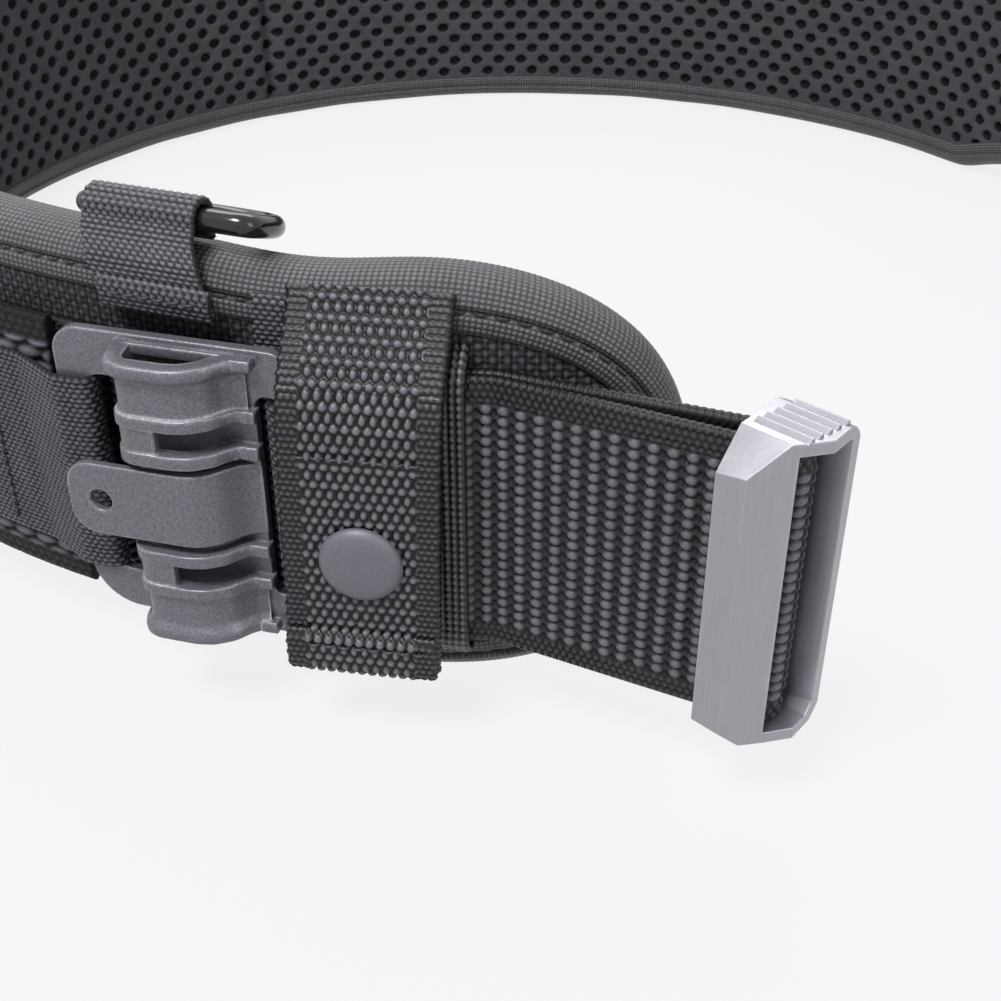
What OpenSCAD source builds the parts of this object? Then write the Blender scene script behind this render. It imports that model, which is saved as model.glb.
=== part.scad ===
// Padded tool belt: an open waist loop of foam pad sections, a 50 mm load web,
// two metal clip hubs for pouches, snap keepers, suspender rings and a metal buckle.
// Millimetres, +Z up. The loop lies flat on its lower edge with its mouth towards -Y.
// Every left-hand piece is drawn at its angle round the loop and mirrored for the right.

/* [Pad] */
// Outer radius of the padded loop
pad_r = 190; // [170:1:230]
// Thickness of the pad
pad_t = 13; // [12:0.5:18]
// Height of the pad
pad_h = 84; // [82:1:90]
// Angle of the pad's round tip, counted from +X
tip_end = 240.8; // [240:0.1:242]
// Radius of the arcs that round the tip above and below its middle
tip_r = 55; // [50:1:58]
// How far the tip's lower edge stays above the surface the belt stands on
tip_low = 5.4; // [5:0.1:6]
// Thickness of the outer fabric and of the mesh lining
skin_t = 1.4; // [1:0.1:2]
// Height of the bound hem along each edge
hem_h = 7; // [7:0.5:9]
// Angle of the middle of the hip arch in the lower edge
arch_angle = 206.7; // [206:0.1:207]
// Height of the hip arch
arch_h = 14; // [10:1:15]
// Half of the arch's span along the pad
arch_half = 72; // [66:1:72]

/* [Webbing] */
// Thickness of one layer of load web
web_t = 2; // [1.8:0.1:2.2]
// Lower edge of the load web
web_z = 17.5; // [16:0.5:18.5]
// Width of the load web
web_w = 50.8; // [48:0.1:51]
// Angle at which the free web leaves the pad
web_leave = 230.8; // [229:0.1:232]

/* [Clip hub] */
// Angle of the middle of the hub
hub_angle = 215.3; // [215:0.1:215.6]
// Turn of the hub away from the pad's tangent
hub_yaw = 3; // [0:0.5:3]
// Width of the hub's base plate
hub_w = 43; // [42.5:0.5:43.5]
// Height of the hub's base plate
hub_h = 55.5; // [54:0.5:57]
// Lower edge of the base plate
hub_z = 16; // [15:1:17]
// How far the hub's channel stands proud of the plate
hub_rise = 7.5; // [7:0.1:8]

/* [Keeper] */
// Angle of the middle of the keeper
keeper_angle = 224.9; // [224.5:0.1:225.2]
// Width of the keeper flap
keeper_w = 25.4; // [24:0.2:26]
// Height of the snap's centre
snap_z = 38; // [30:1:44]
// Diameter of the snap cap
snap_d = 14.2; // [12:0.1:17]

/* [Suspender rings] */
// Angles of the front and back ring loops
ring_angles = [213, 112];
// Width of a ring loop
loop_w = 20; // [18:1:21]
// Wire diameter of a ring
ring_wire = 3.8; // [3.4:0.1:3.8]
// Outside width of a ring
ring_w = 34; // [34:1:40]
// Angle of the resting ring below horizontal
ring_droop = 22; // [10:1:22]
// Shift of the ring along its loop
ring_shift = 3; // [0:0.1:3]

/* [Buckle] */
// Pin of the left buckle half, in plan from the loop's centre
pin_at = [-98, -189.5];
// Radius of the buckle pins
pin_r = 1.8; // [1.6:0.1:1.8]
// Height of the buckle frame
frame_h = 56; // [55:0.5:57]
// Lower edge of the buckle frame
frame_z = 15; // [14:0.5:15.5]
// Turn of the buckle frame about its pin
frame_turn = 9; // [5:1:13]

/* [Hidden] */
$fn = 64;
// Moves the loop's centre so that the whole part is centred on the origin
loop_centre_y = 14.76;
pad_in = pad_r - pad_t;
core_in = pad_in + skin_t;
core_out = pad_r - skin_t;
hem_proud = 0.6;
// How much further in the skins stop at the tip than along the straight hem
skin_step = 0.3;
// The tip is where two arcs meet, one from the top edge and one from the bottom edge
tip_rise = tip_r - (pad_h - tip_low) / 2;
tip_run = sqrt(tip_r * tip_r - tip_rise * tip_rise);
tip_centre = tip_end - asin(tip_run / pad_r);
tip_sweep = 22;
back_angle = 90;
web_top = web_z + web_w;
rear_web_out = pad_r + web_t;
front_web_out = pad_r + 2 * web_t;
pin_clear = 0.05;
fold_in = pin_r + pin_clear;
fold_out = fold_in + web_t;
hub_plate_t = 2;
hub_face = 195.8;
hub_wall = 1.4;
slot_h = 39;
slot_z = hub_z + (hub_h - slot_h) / 2;
left_slot = [-hub_w / 2 + 5, -8.6];
right_slot = [14, hub_w / 2 - 3];
root_window = [8.2, 13];
tab_t = 1.4;
tab_h = slot_h - 1;
lever_h = 14;
lever_z = hub_z + hub_h / 2 - lever_h / 2;
lever_t = 1.5;
lever_tip = -18;
flap_t = 2.4;
flap_face = 201.4;
flap_z = 15;
flap_hinge = [192.6, 74.5];
flap_hinge_r = flap_t / 2;
// Inner corner of the bend near the flap's top
flap_knee = [198.1, 66.6];
backing_t = 1.6;
backing_out = front_web_out + backing_t;
// The backing's two edges, along the pad from the keeper's middle
backing_edges = [-8.2, 15.3];
loop_r = 3.6;
bar_at = [pad_r - 5, pad_h + 4];
ring_r = ring_wire / 2;
ring_bend = (ring_w - ring_wire) / 2;
ring_leg = 5;
hem_top = pad_h - hem_h;
carrier_out = rear_web_out + 2.4;
carrier_end = 207.8;
// The arch is a large circle whose centre lies far below the pad
arch_r = (arch_half * arch_half + arch_h * arch_h) / (2 * arch_h);
arch_z = arch_h - arch_r;
arch_start = arch_angle - asin(arch_half / pad_r);

// A point at radius r and angle a
function pol(r, a) = [r * cos(a), r * sin(a)];

// Points along an arc of radius r about a centre
function arc(r, from, to, steps = 12, centre = [0, 0]) =
    [for (i = [0:steps]) centre + pol(r, from + (to - from) * i / steps)];

// A plan point given from the hub's middle: out from the plate's face, then along the plate
function from_hub(out, along) =
    pol(hub_face, hub_angle) + pol(out, hub_angle + hub_yaw) + pol(along, hub_angle + hub_yaw + 90);

// The outline of the pad's cross-section below or above its middle, inset all round
function edge_outline(inset, rise) =
    let (corner = 5.5 - inset, low = pad_in + inset, high = pad_r - inset)
    concat([[low, rise]],
           arc(corner, 180, 270, 6, [low + corner, inset + corner]),
           arc(corner, 270, 360, 6, [high - corner, inset + corner]),
           [[high, rise]]);

function reversed(list) = [for (i = [len(list) - 1:-1:0]) list[i]];

module loop_frame() {
    translate([0, loop_centre_y, 0]) children();
}

module on_left() {
    loop_frame() children();
}

module on_right() {
    loop_frame() mirror([1, 0, 0]) children();
}

module on_both(side) {
    if (side == "left") on_left() children();
    if (side == "right") on_right() children();
}

// Stands children at an angle round the loop: X outwards, Y along the pad, Z up
module at_angle(a) {
    rotate([0, 0, a]) children();
}

// Stands children on the hub's face: X outwards, Y along the plate, Z up
module on_hub() {
    at_angle(hub_angle) translate([hub_face, 0, 0]) rotate([0, 0, hub_yaw]) children();
}

// The hollow under the hip arch, grown by a margin
module arch_hollow(margin = 0) {
    at_angle(arch_angle) translate([pad_in - 30, 0, arch_z])
        rotate([0, 90, 0]) cylinder(r = arch_r + margin, h = 60, $fn = 256);
}

// Takes the hip arch out of children
module arched(margin = 0) {
    difference() {
        children();
        arch_hollow(margin);
    }
}

// A straight-sided band between two radii, two heights and two angles
module band(r_in, r_out, z_low, z_high, from, to) {
    rotate_extrude(angle = to - from, start = from)
        translate([r_in, z_low]) square([r_out - r_in, z_high - z_low]);
}

// The outline of the tip as a block through the pad, drawn in by an inset
module tip_block(inset) {
    at_angle(tip_centre) translate([pad_in - 20, 0, 0]) rotate([0, 90, 0]) intersection() {
        translate([-tip_r - tip_low, 0, 0]) cylinder(r = tip_r - inset, h = 60, $fn = 128);
        translate([tip_r - pad_h, 0, 0]) cylinder(r = tip_r - inset, h = 60, $fn = 128);
    }
}

// The part of a band beyond the straight pad that lies inside the tip's outline
module tip_zone(r_in, r_out, inset) {
    intersection() {
        band(r_in, r_out, 0, pad_h, tip_centre, tip_centre + tip_sweep);
        tip_block(inset);
    }
}

// The left half of the foam, from the centre-back seam to the tip
module core_half() {
    lower = edge_outline(skin_t, pad_h / 2);
    arched(skin_t)
        rotate_extrude(angle = tip_centre - back_angle, start = back_angle)
            polygon(concat(lower, [for (p = reversed(lower)) [p[0], pad_h - p[1]]]));
    tip_zone(core_in, core_out, skin_t);
}

module pad_core(side) {
    color("dimgray") on_both(side) core_half();
}

// Coarse basket-weave shell of one half
module outer_shell(side) {
    color("#303136") on_both(side) arched(hem_h) {
        band(core_out, pad_r, hem_h, hem_top, back_angle, tip_centre);
        tip_zone(core_out, pad_r, hem_h + skin_step);
    }
}

// Spacer-mesh lining of one half
module mesh_lining(side) {
    color("#3f4045") on_both(side) arched(hem_h) {
        band(pad_in, core_in, hem_h, hem_top, back_angle, tip_centre);
        tip_zone(pad_in, core_in, hem_h + skin_step);
    }
}

// The folded tape that wraps one long edge of the pad, its flat fold at z = 0
module bound_edge(end) {
    rotate_extrude(angle = 2 * end - 180, start = 180 - end)
        polygon(concat([[pad_in - hem_proud, hem_h], [pad_in - hem_proud, 5.5]],
                       arc(5.5, 180, 270, 6, [pad_in + 5.5, 5.5]),
                       arc(5.5, 270, 360, 6, [pad_r - 5.5, 5.5]),
                       [[pad_r + hem_proud, 5.5], [pad_r + hem_proud, hem_h]],
                       reversed(edge_outline(skin_t, hem_h))));
}

module bottom_binding() {
    color("#55565b") loop_frame() bound_edge(arch_start);
}

module top_binding() {
    color("#55565b") loop_frame() translate([0, 0, pad_h]) mirror([0, 0, 1]) bound_edge(tip_centre);
}

// The same tape along the hip arch
module arch_binding(side) {
    color("#55565b") on_both(side) difference() {
        intersection() {
            band(pad_in - hem_proud, pad_r + hem_proud, 0, pad_h / 2, arch_start, tip_centre);
            arch_hollow(hem_h);
        }
        arch_hollow();
        core_half();
    }
}

// The same tape where it runs round the tip
module tip_binding(side) {
    color("#55565b") on_both(side) difference() {
        intersection() {
            band(pad_in - hem_proud, pad_r + hem_proud, 0, pad_h, tip_centre, tip_centre + tip_sweep);
            difference() {
                tip_block(0);
                tip_block(hem_h);
            }
        }
        intersection() {
            band(core_in, core_out, 0, pad_h, tip_centre - 1, tip_centre + tip_sweep);
            tip_block(skin_t);
        }
    }
}

// Load web round the outside of the pad
module belt_web() {
    color("#2b2c30") loop_frame()
        band(pad_r, rear_web_out, web_z, web_top, 180 - 225, 225);
}

// Free end of the load web: two layers that leave the pad and fold round the buckle pin
module web_end(side) {
    run = pin_at - pol(pad_r + 1.5 * web_t, web_leave);
    heading = atan2(run[1], run[0]);
    spread = asin(fold_out / norm(run)) - 1.5;
    front = heading - 90 - spread;
    back = heading + 90 + spread;
    front_start = 222.9;
    back_start = 225;
    // The two layers lie this far from the middle of their seam
    seam = 0.05;
    color("#2b2c30") on_both(side) translate([0, 0, web_z]) linear_extrude(web_w)
        polygon(concat(
            arc(front_web_out, front_start, web_leave, 8),
            arc(fold_out, front, back, 24, pin_at),
            [pol(pad_r, web_leave + 1.2)],
            arc(pad_r, web_leave, back_start, 6),
            arc(rear_web_out - seam, back_start, web_leave, 6),
            [pol(rear_web_out - seam, web_leave + 1)],
            arc(fold_in, back, front, 24, pin_at),
            [pol(rear_web_out + 2 * seam, web_leave + 0.6)],
            arc(rear_web_out + seam, web_leave, front_start, 8)));
}

// Chunky panel of pouch webbing sewn over the load web beside the hub
module carrier_panel(side) {
    color("#33343a") on_both(side)
        band(rear_web_out, carrier_out, web_z - 1, web_top + 1, 128, carrier_end);
}

// Outline of the hub's channel in plan: outwards from the plate's face, then along the pad
function channel_outline(rise) = [
    [0, -8], [rise - 2, -7], [rise - 0.6, -6.2], [rise, -4.6], [rise, 2.6],
    [rise - 0.8, 5.4], [rise - 3, 8.2], [1.6, 10.2], [0.6, 12.2], [0, 12.6]
];
function channel_hollow(rise) = [
    [-0.01, -6.4], [rise - 2, -5.6], [rise, -4.2], [rise, 2.2], [rise - 1.4, 4.8], [1, 8], [-0.01, 8.6]
];

module hub_channel(z_low, z_high, grow = 0) {
    translate([0, 0, z_low]) linear_extrude(z_high - z_low) difference() {
        polygon(channel_outline(hub_rise + grow));
        polygon(channel_hollow(hub_rise - hub_wall));
    }
}

module rounded_plate(width, height, corner, thick) {
    rotate([90, 0, 90]) linear_extrude(thick) {
        translate([-width / 2 + corner, 0]) square([width - 2 * corner, height]);
        translate([-width / 2, corner]) square([width, height - 2 * corner]);
        for (y = [-1, 1], z = [corner, height - corner])
            translate([y * (width / 2 - corner), z]) circle(r = corner);
    }
}

// Stamped base plate with two web slots and a channel that takes a pouch clip
module hub_plate(side) {
    lower_top = lever_z - 1.5;
    upper_bottom = lever_z + lever_h + 1.5;
    channel_low = hub_z + 1;
    channel_high = hub_z + hub_h - 1;
    ridge_h = 1.8;
    color("#4a4c52") on_both(side) on_hub() {
        difference() {
            translate([-hub_plate_t, 0, hub_z]) rounded_plate(hub_w, hub_h, 6, hub_plate_t);
            for (slot = [left_slot, right_slot])
                translate([-hub_plate_t - 1, slot[0], slot_z])
                    cube([hub_plate_t + 2, slot[1] - slot[0], slot_h]);
            // Window that lets the lever's root flex
            translate([-hub_plate_t - 1, root_window[0], lever_z - 0.5])
                cube([hub_plate_t + 2, root_window[1] - root_window[0], lever_h + 1]);
        }
        hub_channel(channel_low, lower_top);
        hub_channel(upper_bottom, channel_high);
        // Thick lips at the mouths and ridges on the bridges
        for (z = [channel_low, lower_top - 9, lower_top - ridge_h,
                  upper_bottom, upper_bottom + 8, channel_high - ridge_h])
            hub_channel(z, z + ridge_h, 0.8);
    }
}

// Spring tongue that locks a clip in the channel and is pressed at its free end to release it
module hub_lever(side) {
    rest = hub_rise + 0.1;
    color("#4a4c52") on_both(side) on_hub() translate([0, 0, lever_z]) difference() {
        linear_extrude(lever_h) polygon([
            [-1.6, 12.5], [-0.1, 12.5], [0.9, 10.8], [rest - 2.5, 8.2], [rest - 0.3, 5],
            [rest, 2], [rest, lever_tip], [rest - lever_t, lever_tip],
            [rest - lever_t, 2], [rest - 2.3, 4.4], [rest - 4.1, 7.2], [-1.6, 9.6]
        ]);
        translate([0, lever_tip + 5.8, lever_h / 2]) rotate([0, 90, 0]) cylinder(d = 4, h = 20);
    }
}

// Webbing tab looped round the hub's left rail and sewn to the carrier panel
module hub_rear_tab(side) {
    fold = left_slot[0] + 2 * tab_t;
    color("#2f3035") on_both(side) translate([0, 0, slot_z + 0.5]) linear_extrude(tab_h)
        polygon(concat(
            [from_hub(tab_t, fold), from_hub(tab_t, -hub_w / 2 - 1)],
            arc(carrier_out + tab_t, carrier_end - 2, 199, 6), arc(carrier_out, 199, carrier_end - 2, 6),
            [from_hub(0, -hub_w / 2 - 0.5), from_hub(0, left_slot[0]),
             from_hub(-hub_plate_t, left_slot[0]), from_hub(-hub_plate_t, -hub_w / 2 + 1),
             from_hub(-hub_plate_t - 1, -hub_w / 2 + 1), from_hub(-hub_plate_t - 1, fold)]));
}

// Webbing tab looped round the hub's right rail; its end runs under the keeper
module hub_front_tab(side) {
    fold = right_slot[1] - tab_t;
    color("#2f3035") on_both(side) translate([0, 0, slot_z + 0.5]) linear_extrude(tab_h)
        polygon([
            from_hub(tab_t, fold), from_hub(-hub_plate_t - 0.4, fold),
            from_hub(-hub_plate_t - 0.4, hub_w / 2 - 1), from_hub(-hub_plate_t, hub_w / 2 - 1),
            from_hub(-hub_plate_t, right_slot[1]), from_hub(0, right_slot[1]),
            from_hub(0, hub_w / 2 + 0.2), pol(rear_web_out, 221.9), pol(rear_web_out + 1, 222.2),
            from_hub(tab_t, hub_w / 2 + 0.4)
        ]);
}

// Fixed strap that holds the load web against the pad and carries the snap's stud
module keeper_backing(side) {
    sewn = pad_r - skin_t;
    gap = front_web_out + 0.2;
    color("#2b2c30") on_both(side) at_angle(keeper_angle) translate([0, backing_edges[1], 0])
        rotate([90, 0, 0]) linear_extrude(backing_edges[1] - backing_edges[0])
            polygon([
                [sewn, 12], [sewn, 10.4], [pad_r + 1, 10], [backing_out, web_z - 1.6],
                [backing_out, web_top + 0.2], [pad_r + 1, 72.2], [sewn, 72.2], [sewn, 70.6],
                [pad_r + 0.6, 70.6], [gap, web_top], [gap, web_z], [pad_r + 0.6, 12]
            ]);
}

// End of the keeper flap that is sewn under the top binding
module keeper_anchor(side) {
    color("#2b2c30") on_both(side) at_angle(keeper_angle)
        translate([pad_r - skin_t, -keeper_w / 2, 73.4]) cube([2.2, keeper_w, 6.6]);
}

// Side profile of the flap: outwards from the loop's centre, then up
function flap_profile() = concat(
    arc(flap_hinge_r, 223.7, 43.7, 8, flap_hinge),
    arc(flap_t, 43.7, 3, 4, flap_knee),
    [[flap_face, flap_z + 31], [flap_face, flap_z + 8], [flap_face + 1.2, flap_z + 6],
     [flap_face + 1.2, flap_z + 1.2], [flap_face + 0.2, flap_z], [flap_face - flap_t + 0.2, flap_z],
     [flap_face - flap_t, flap_z + 1], [flap_face - flap_t, flap_z + 31], flap_knee]);

// Coarse webbing flap that folds down over the web, doubled at its lower end
module keeper_flap(side) {
    color("#2b2c30") on_both(side) at_angle(keeper_angle) difference() {
        translate([0, keeper_w / 2, 0]) rotate([90, 0, 0]) linear_extrude(keeper_w)
            polygon(flap_profile());
        translate([flap_face - 5, 0, snap_z]) rotate([0, 90, 0]) cylinder(r = 1.5, h = 10);
    }
}

// Round cap of the snap with its rivet post
module snap_cap(side) {
    color("#5a5b61") on_both(side) at_angle(keeper_angle) translate([flap_face, 0, snap_z])
        rotate([0, 90, 0]) {
            cylinder(d = snap_d, h = 0.9);
            translate([0, 0, 0.9]) cylinder(r1 = snap_d / 2, r2 = snap_d / 2 - 1.6, h = 0.9);
            translate([0, 0, -flap_t]) cylinder(r = 1.5, h = flap_t);
        }
}

// Ring on the flap's inner face that grips the stud
module snap_socket(side) {
    color("#5a5b61") on_both(side) at_angle(keeper_angle)
        translate([flap_face - flap_t - 1.7, 0, snap_z]) rotate([0, 90, 0]) difference() {
            cylinder(r = 5.5, h = 1.7);
            translate([0, 0, -1]) cylinder(r = 3.4, h = 2.2);
        }
}

// Stud on the backing strap
module snap_stud(side) {
    color("#5a5b61") on_both(side) at_angle(keeper_angle)
        translate([backing_out, 0, snap_z]) rotate([0, 90, 0]) {
            cylinder(r = 5, h = 0.7);
            cylinder(r = 2.8, h = 2.2);
        }
}

// Small ribbed tab sewn under the top binding beside the keeper
module edge_tab(side) {
    color("#33343a") on_both(side) band(pad_r, pad_r + tab_t, web_top + 0.2, hem_top, 219.4, 221);
}

// Rolled webbing loop on the top edge with its sewn-down front leg
module ring_loop(side, a) {
    color("#2b2c30") on_both(side) at_angle(a) translate([0, loop_w / 2, 0])
        rotate([90, 0, 0]) linear_extrude(loop_w) difference() {
            union() {
                translate(bar_at) circle(r = loop_r);
                polygon([
                    [bar_at[0] - 2.4, pad_h - 0.1], [bar_at[0] + 1, pad_h - 0.3],
                    [pad_r - 0.8, pad_h - 3], [pad_r + hem_proud, hem_top + 1],
                    [pad_r + hem_proud, hem_top - 2], [pad_r + 3, hem_top - 2], [pad_r + 3, hem_top + 3],
                    [bar_at[0] + loop_r - 0.2, bar_at[1] - 0.8], [bar_at[0] - loop_r, bar_at[1]]
                ]);
            }
            translate(bar_at) circle(r = ring_r + 0.3);
        }
}

// D-shaped ring of round wire: a straight bar, two legs and a half-round bow
module d_ring(side, a) {
    color("#1d1e21") on_both(side) at_angle(a)
        translate([bar_at[0], ring_shift, bar_at[1]]) rotate([0, -ring_droop, 0]) {
            translate([0, -ring_bend, 0]) rotate([-90, 0, 0]) cylinder(r = ring_r, h = 2 * ring_bend);
            for (y = [-ring_bend, ring_bend]) translate([0, y, 0]) {
                sphere(r = ring_r);
                rotate([0, -90, 0]) cylinder(r = ring_r, h = ring_leg);
            }
            translate([-ring_leg, 0, 0]) rotate_extrude(angle = 180, start = 90)
                translate([ring_bend, 0]) circle(r = ring_r);
        }
}

// Stands children on the left buckle pin: X along the frame's width, Y to its rear
module on_frame() {
    loop_frame() translate([pin_at[0], pin_at[1], frame_z]) rotate([0, 0, frame_turn]) children();
}

// Deep cast ring of the buckle: side bars, top and bottom walls, cut corners and grip ribs
module buckle_frame() {
    outline = [[-11.2, 5], [-10.4, -0.2], [-4.3, -4.3], [8, -5.8], [4.8, 6.1]];
    hollow = [[-9.4, 8], [-8.6, 0.6], [-4.6, -2.1], [-4.6, -8], [6.2, -8], [2.9, 8]];
    wall = 2.2;
    color("#8e8e96") on_frame() difference() {
        linear_extrude(frame_h) polygon(outline);
        translate([0, 0, wall]) linear_extrude(frame_h - 2 * wall) polygon(hollow);
        translate([-12, 0, frame_h]) rotate([0, 45, 0]) cube([9, 40, 9], center = true);
        translate([-12, 0, 0]) rotate([0, 45, 0]) cube([5, 40, 5], center = true);
        translate([0, 0, -1]) cylinder(r = pin_r, h = frame_h + 2);
    }
    color("#8e8e96") on_frame() for (i = [0:4])
        translate([-2 + 2 * i, -4, frame_h]) cube([0.9, 8.5, 0.7]);
}

// Pin that the folded web turns on
module buckle_pin() {
    color("#4a4c52") on_frame() cylinder(r = pin_r, h = frame_h);
}

// Stands children on the right buckle pin: X away from the web, along its run
module on_hook() {
    loop_frame() translate([-pin_at[0], pin_at[1], frame_z]) rotate([0, 0, 246]) children();
}

// Cast plate on the other web end, whose lip hooks behind the buckle frame's bar
module hook_plate() {
    side_wall = 2.2;
    color("#8e8e96") on_hook() {
        difference() {
            linear_extrude(frame_h) polygon([
                [-5.6, -6.4], [5.6, -6.4], [8, -3], [30, -3], [33, -0.4], [33, 4.6], [28, 7.6],
                [25, 5.4], [28.6, 2.8], [28.6, 1.6], [26, 0.6], [9.4, 0.6], [5.6, 6.4], [-5.6, 6.4]
            ]);
            translate([-7, -7, side_wall]) cube([12.2, 14, frame_h - 2 * side_wall]);
            translate([0, 0, -1]) cylinder(r = pin_r, h = frame_h + 2);
        }
    }
}

module hook_pin() {
    color("#4a4c52") on_hook() cylinder(r = pin_r, h = frame_h);
}

pad_core("left");  // pad_core_left
pad_core("right");  // pad_core_right
outer_shell("left");  // outer_shell_left
outer_shell("right");  // outer_shell_right
mesh_lining("left");  // mesh_lining_left
mesh_lining("right");  // mesh_lining_right
bottom_binding();
arch_binding("left");  // arch_binding_left
arch_binding("right");  // arch_binding_right
top_binding();
tip_binding("left");  // tip_binding_left
tip_binding("right");  // tip_binding_right
belt_web();
web_end("left");  // web_end_left
web_end("right");  // web_end_right
carrier_panel("left");  // carrier_panel_left
carrier_panel("right");  // carrier_panel_right
hub_plate("left");  // hub_plate_left
hub_plate("right");  // hub_plate_right
hub_lever("left");  // hub_lever_left
hub_lever("right");  // hub_lever_right
hub_rear_tab("left");  // hub_rear_tab_left
hub_rear_tab("right");  // hub_rear_tab_right
hub_front_tab("left");  // hub_front_tab_left
hub_front_tab("right");  // hub_front_tab_right
keeper_backing("left");  // keeper_backing_left
keeper_backing("right");  // keeper_backing_right
keeper_anchor("left");  // keeper_anchor_left
keeper_anchor("right");  // keeper_anchor_right
keeper_flap("left");  // keeper_flap_left
keeper_flap("right");  // keeper_flap_right
snap_cap("left");  // snap_cap_left
snap_cap("right");  // snap_cap_right
snap_socket("left");  // snap_socket_left
snap_socket("right");  // snap_socket_right
snap_stud("left");  // snap_stud_left
snap_stud("right");  // snap_stud_right
edge_tab("left");  // edge_tab_left
edge_tab("right");  // edge_tab_right
ring_loop("left", ring_angles[0]);  // front_ring_loop_left
ring_loop("right", ring_angles[0]);  // front_ring_loop_right
d_ring("left", ring_angles[0]);  // front_ring_left
d_ring("right", ring_angles[0]);  // front_ring_right
ring_loop("left", ring_angles[1]);  // back_ring_loop_left
ring_loop("right", ring_angles[1]);  // back_ring_loop_right
d_ring("left", ring_angles[1]);  // back_ring_left
d_ring("right", ring_angles[1]);  // back_ring_right
buckle_frame();
buckle_pin();
hook_plate();
hook_pin();
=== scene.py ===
import math

import bmesh
import bpy
import numpy as np
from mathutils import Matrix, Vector


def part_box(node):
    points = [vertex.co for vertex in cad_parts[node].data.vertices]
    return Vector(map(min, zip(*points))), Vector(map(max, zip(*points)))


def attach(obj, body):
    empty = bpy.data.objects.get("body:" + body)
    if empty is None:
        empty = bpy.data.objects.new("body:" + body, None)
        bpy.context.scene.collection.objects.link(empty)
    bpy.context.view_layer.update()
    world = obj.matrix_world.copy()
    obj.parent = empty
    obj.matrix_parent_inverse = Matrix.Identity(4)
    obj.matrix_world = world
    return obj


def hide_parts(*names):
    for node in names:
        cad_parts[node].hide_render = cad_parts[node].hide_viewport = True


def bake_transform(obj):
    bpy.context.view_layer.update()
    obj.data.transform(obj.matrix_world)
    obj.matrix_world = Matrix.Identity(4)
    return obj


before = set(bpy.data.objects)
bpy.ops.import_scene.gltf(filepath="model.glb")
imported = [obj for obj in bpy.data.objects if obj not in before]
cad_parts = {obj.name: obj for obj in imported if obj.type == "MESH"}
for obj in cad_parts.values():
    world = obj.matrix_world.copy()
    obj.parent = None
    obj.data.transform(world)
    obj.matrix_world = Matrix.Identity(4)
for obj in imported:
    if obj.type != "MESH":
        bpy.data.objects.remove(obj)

bl_info = {
    "name": "Padded tool belt",
    "version": (1, 0, 0),
    "blender": (4, 5, 0),
    "location": "3D View > Sidebar > Belt",
    "description": "Builds the visible fabric, metal and stage of a padded tool belt round its packed frame",
    "category": "Object",
}

# Everything below is in millimetres about the loop's centre, and goes to metres in place().
MM = 0.001
WEB_R = 192.0
LOOP_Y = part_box("belt_web")[1].y / MM - WEB_R
PAD_R, PAD_IN, PAD_H = 190.0, 177.0, 84.0
MID_R = (PAD_R + PAD_IN) / 2
TIP_END, TIP_R, TIP_LOW = 240.8, 55.0, 5.4
TIP_RISE = TIP_R - (PAD_H - TIP_LOW) / 2
TIP_RUN = math.sqrt(TIP_R**2 - TIP_RISE**2)
TIP_FULLNESS = 2.5
SEAM_OUT, CREASE = 90.0, 87.0
PAD_END, HEM = 242.0, 7.2
WEAVE_SINK, END_BEVEL = 0.35, 0.3
TIP_CENTRE = TIP_END - math.degrees(math.asin(TIP_RUN / PAD_R))
ARCH_ANGLE, ARCH_H, ARCH_HALF = 206.7, 14.0, 72.0
ARCH_R = (ARCH_HALF**2 + ARCH_H**2) / (2 * ARCH_H)
WEB_Z, WEB_W, WEB_T = 17.5, 50.8, 2.0
WEB_LEAVE = 230.8
PIN_AT = np.array([-98.0, -189.5])
HUB_ANGLE, HUB_YAW, HUB_FACE = 215.3, 3.0, 195.8
HUB_Z, HUB_W, HUB_H = 16.0, 43.0, 55.5
SLOT_Z, SLOT_H = HUB_Z + (HUB_H - 39.0) / 2, 39.0
LEVER_Z, LEVER_H = HUB_Z + HUB_H / 2 - 7.0, 14.0
KEEPER_ANGLE, KEEPER_W = 224.9, 25.4
SNAP_Z, SNAP_D, FLAP_FACE = 38.0, 14.2, 201.4
RING_ANGLES = {"front": 213.0, "back": 112.0}
BAR_R, BAR_Z, RING_DROOP, RING_SHIFT, RING_WIRE = 185.0, 88.0, 22.0, 3.0, 1.9
UP = np.array([0.0, 0.0, 1.0])


# ---------------------------------------------------------------- small maths


def pol(radius, degrees):
    a = np.radians(degrees)
    return np.stack([radius * np.cos(a), radius * np.sin(a)], -1)


def arc(radius, start, end, steps, centre=(0.0, 0.0)):
    return np.asarray(centre) + pol(np.full(steps + 1, float(radius)), np.linspace(start, end, steps + 1))


def lengths(points):
    return np.r_[0.0, np.cumsum(np.linalg.norm(np.diff(points, axis=0), axis=1))]


def resample(points, step):
    """Even points along a polyline."""
    points = np.asarray(points, float)
    run = lengths(points)
    n = max(3, int(round(run[-1] / step)) + 1)
    at = np.linspace(0, run[-1], n)
    return np.stack([np.interp(at, run, points[:, k]) for k in range(points.shape[1])], -1)


def smooth(points, step, spread):
    """Even points along a polyline whose corners are rounded over about a spread, ends kept."""
    points = resample(points, step)
    half = int(3 * spread / step) + 1
    weights = np.exp(-0.5 * (np.arange(-half, half + 1) * step / spread) ** 2)
    weights /= weights.sum()
    if len(points) > half:
        before, after = 2 * points[0] - points[half:0:-1], 2 * points[-1] - points[-2 : -half - 2 : -1]
    else:
        before, after = np.repeat(points[:1], half, 0), np.repeat(points[-1:], half, 0)
    padded = np.concatenate([before, points, after])
    out = np.stack([np.convolve(padded[:, k], weights, "valid") for k in range(points.shape[1])], -1)
    return resample(out, step)


def unit(v):
    return v / np.maximum(np.linalg.norm(v, axis=-1, keepdims=True), 1e-12)


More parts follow.
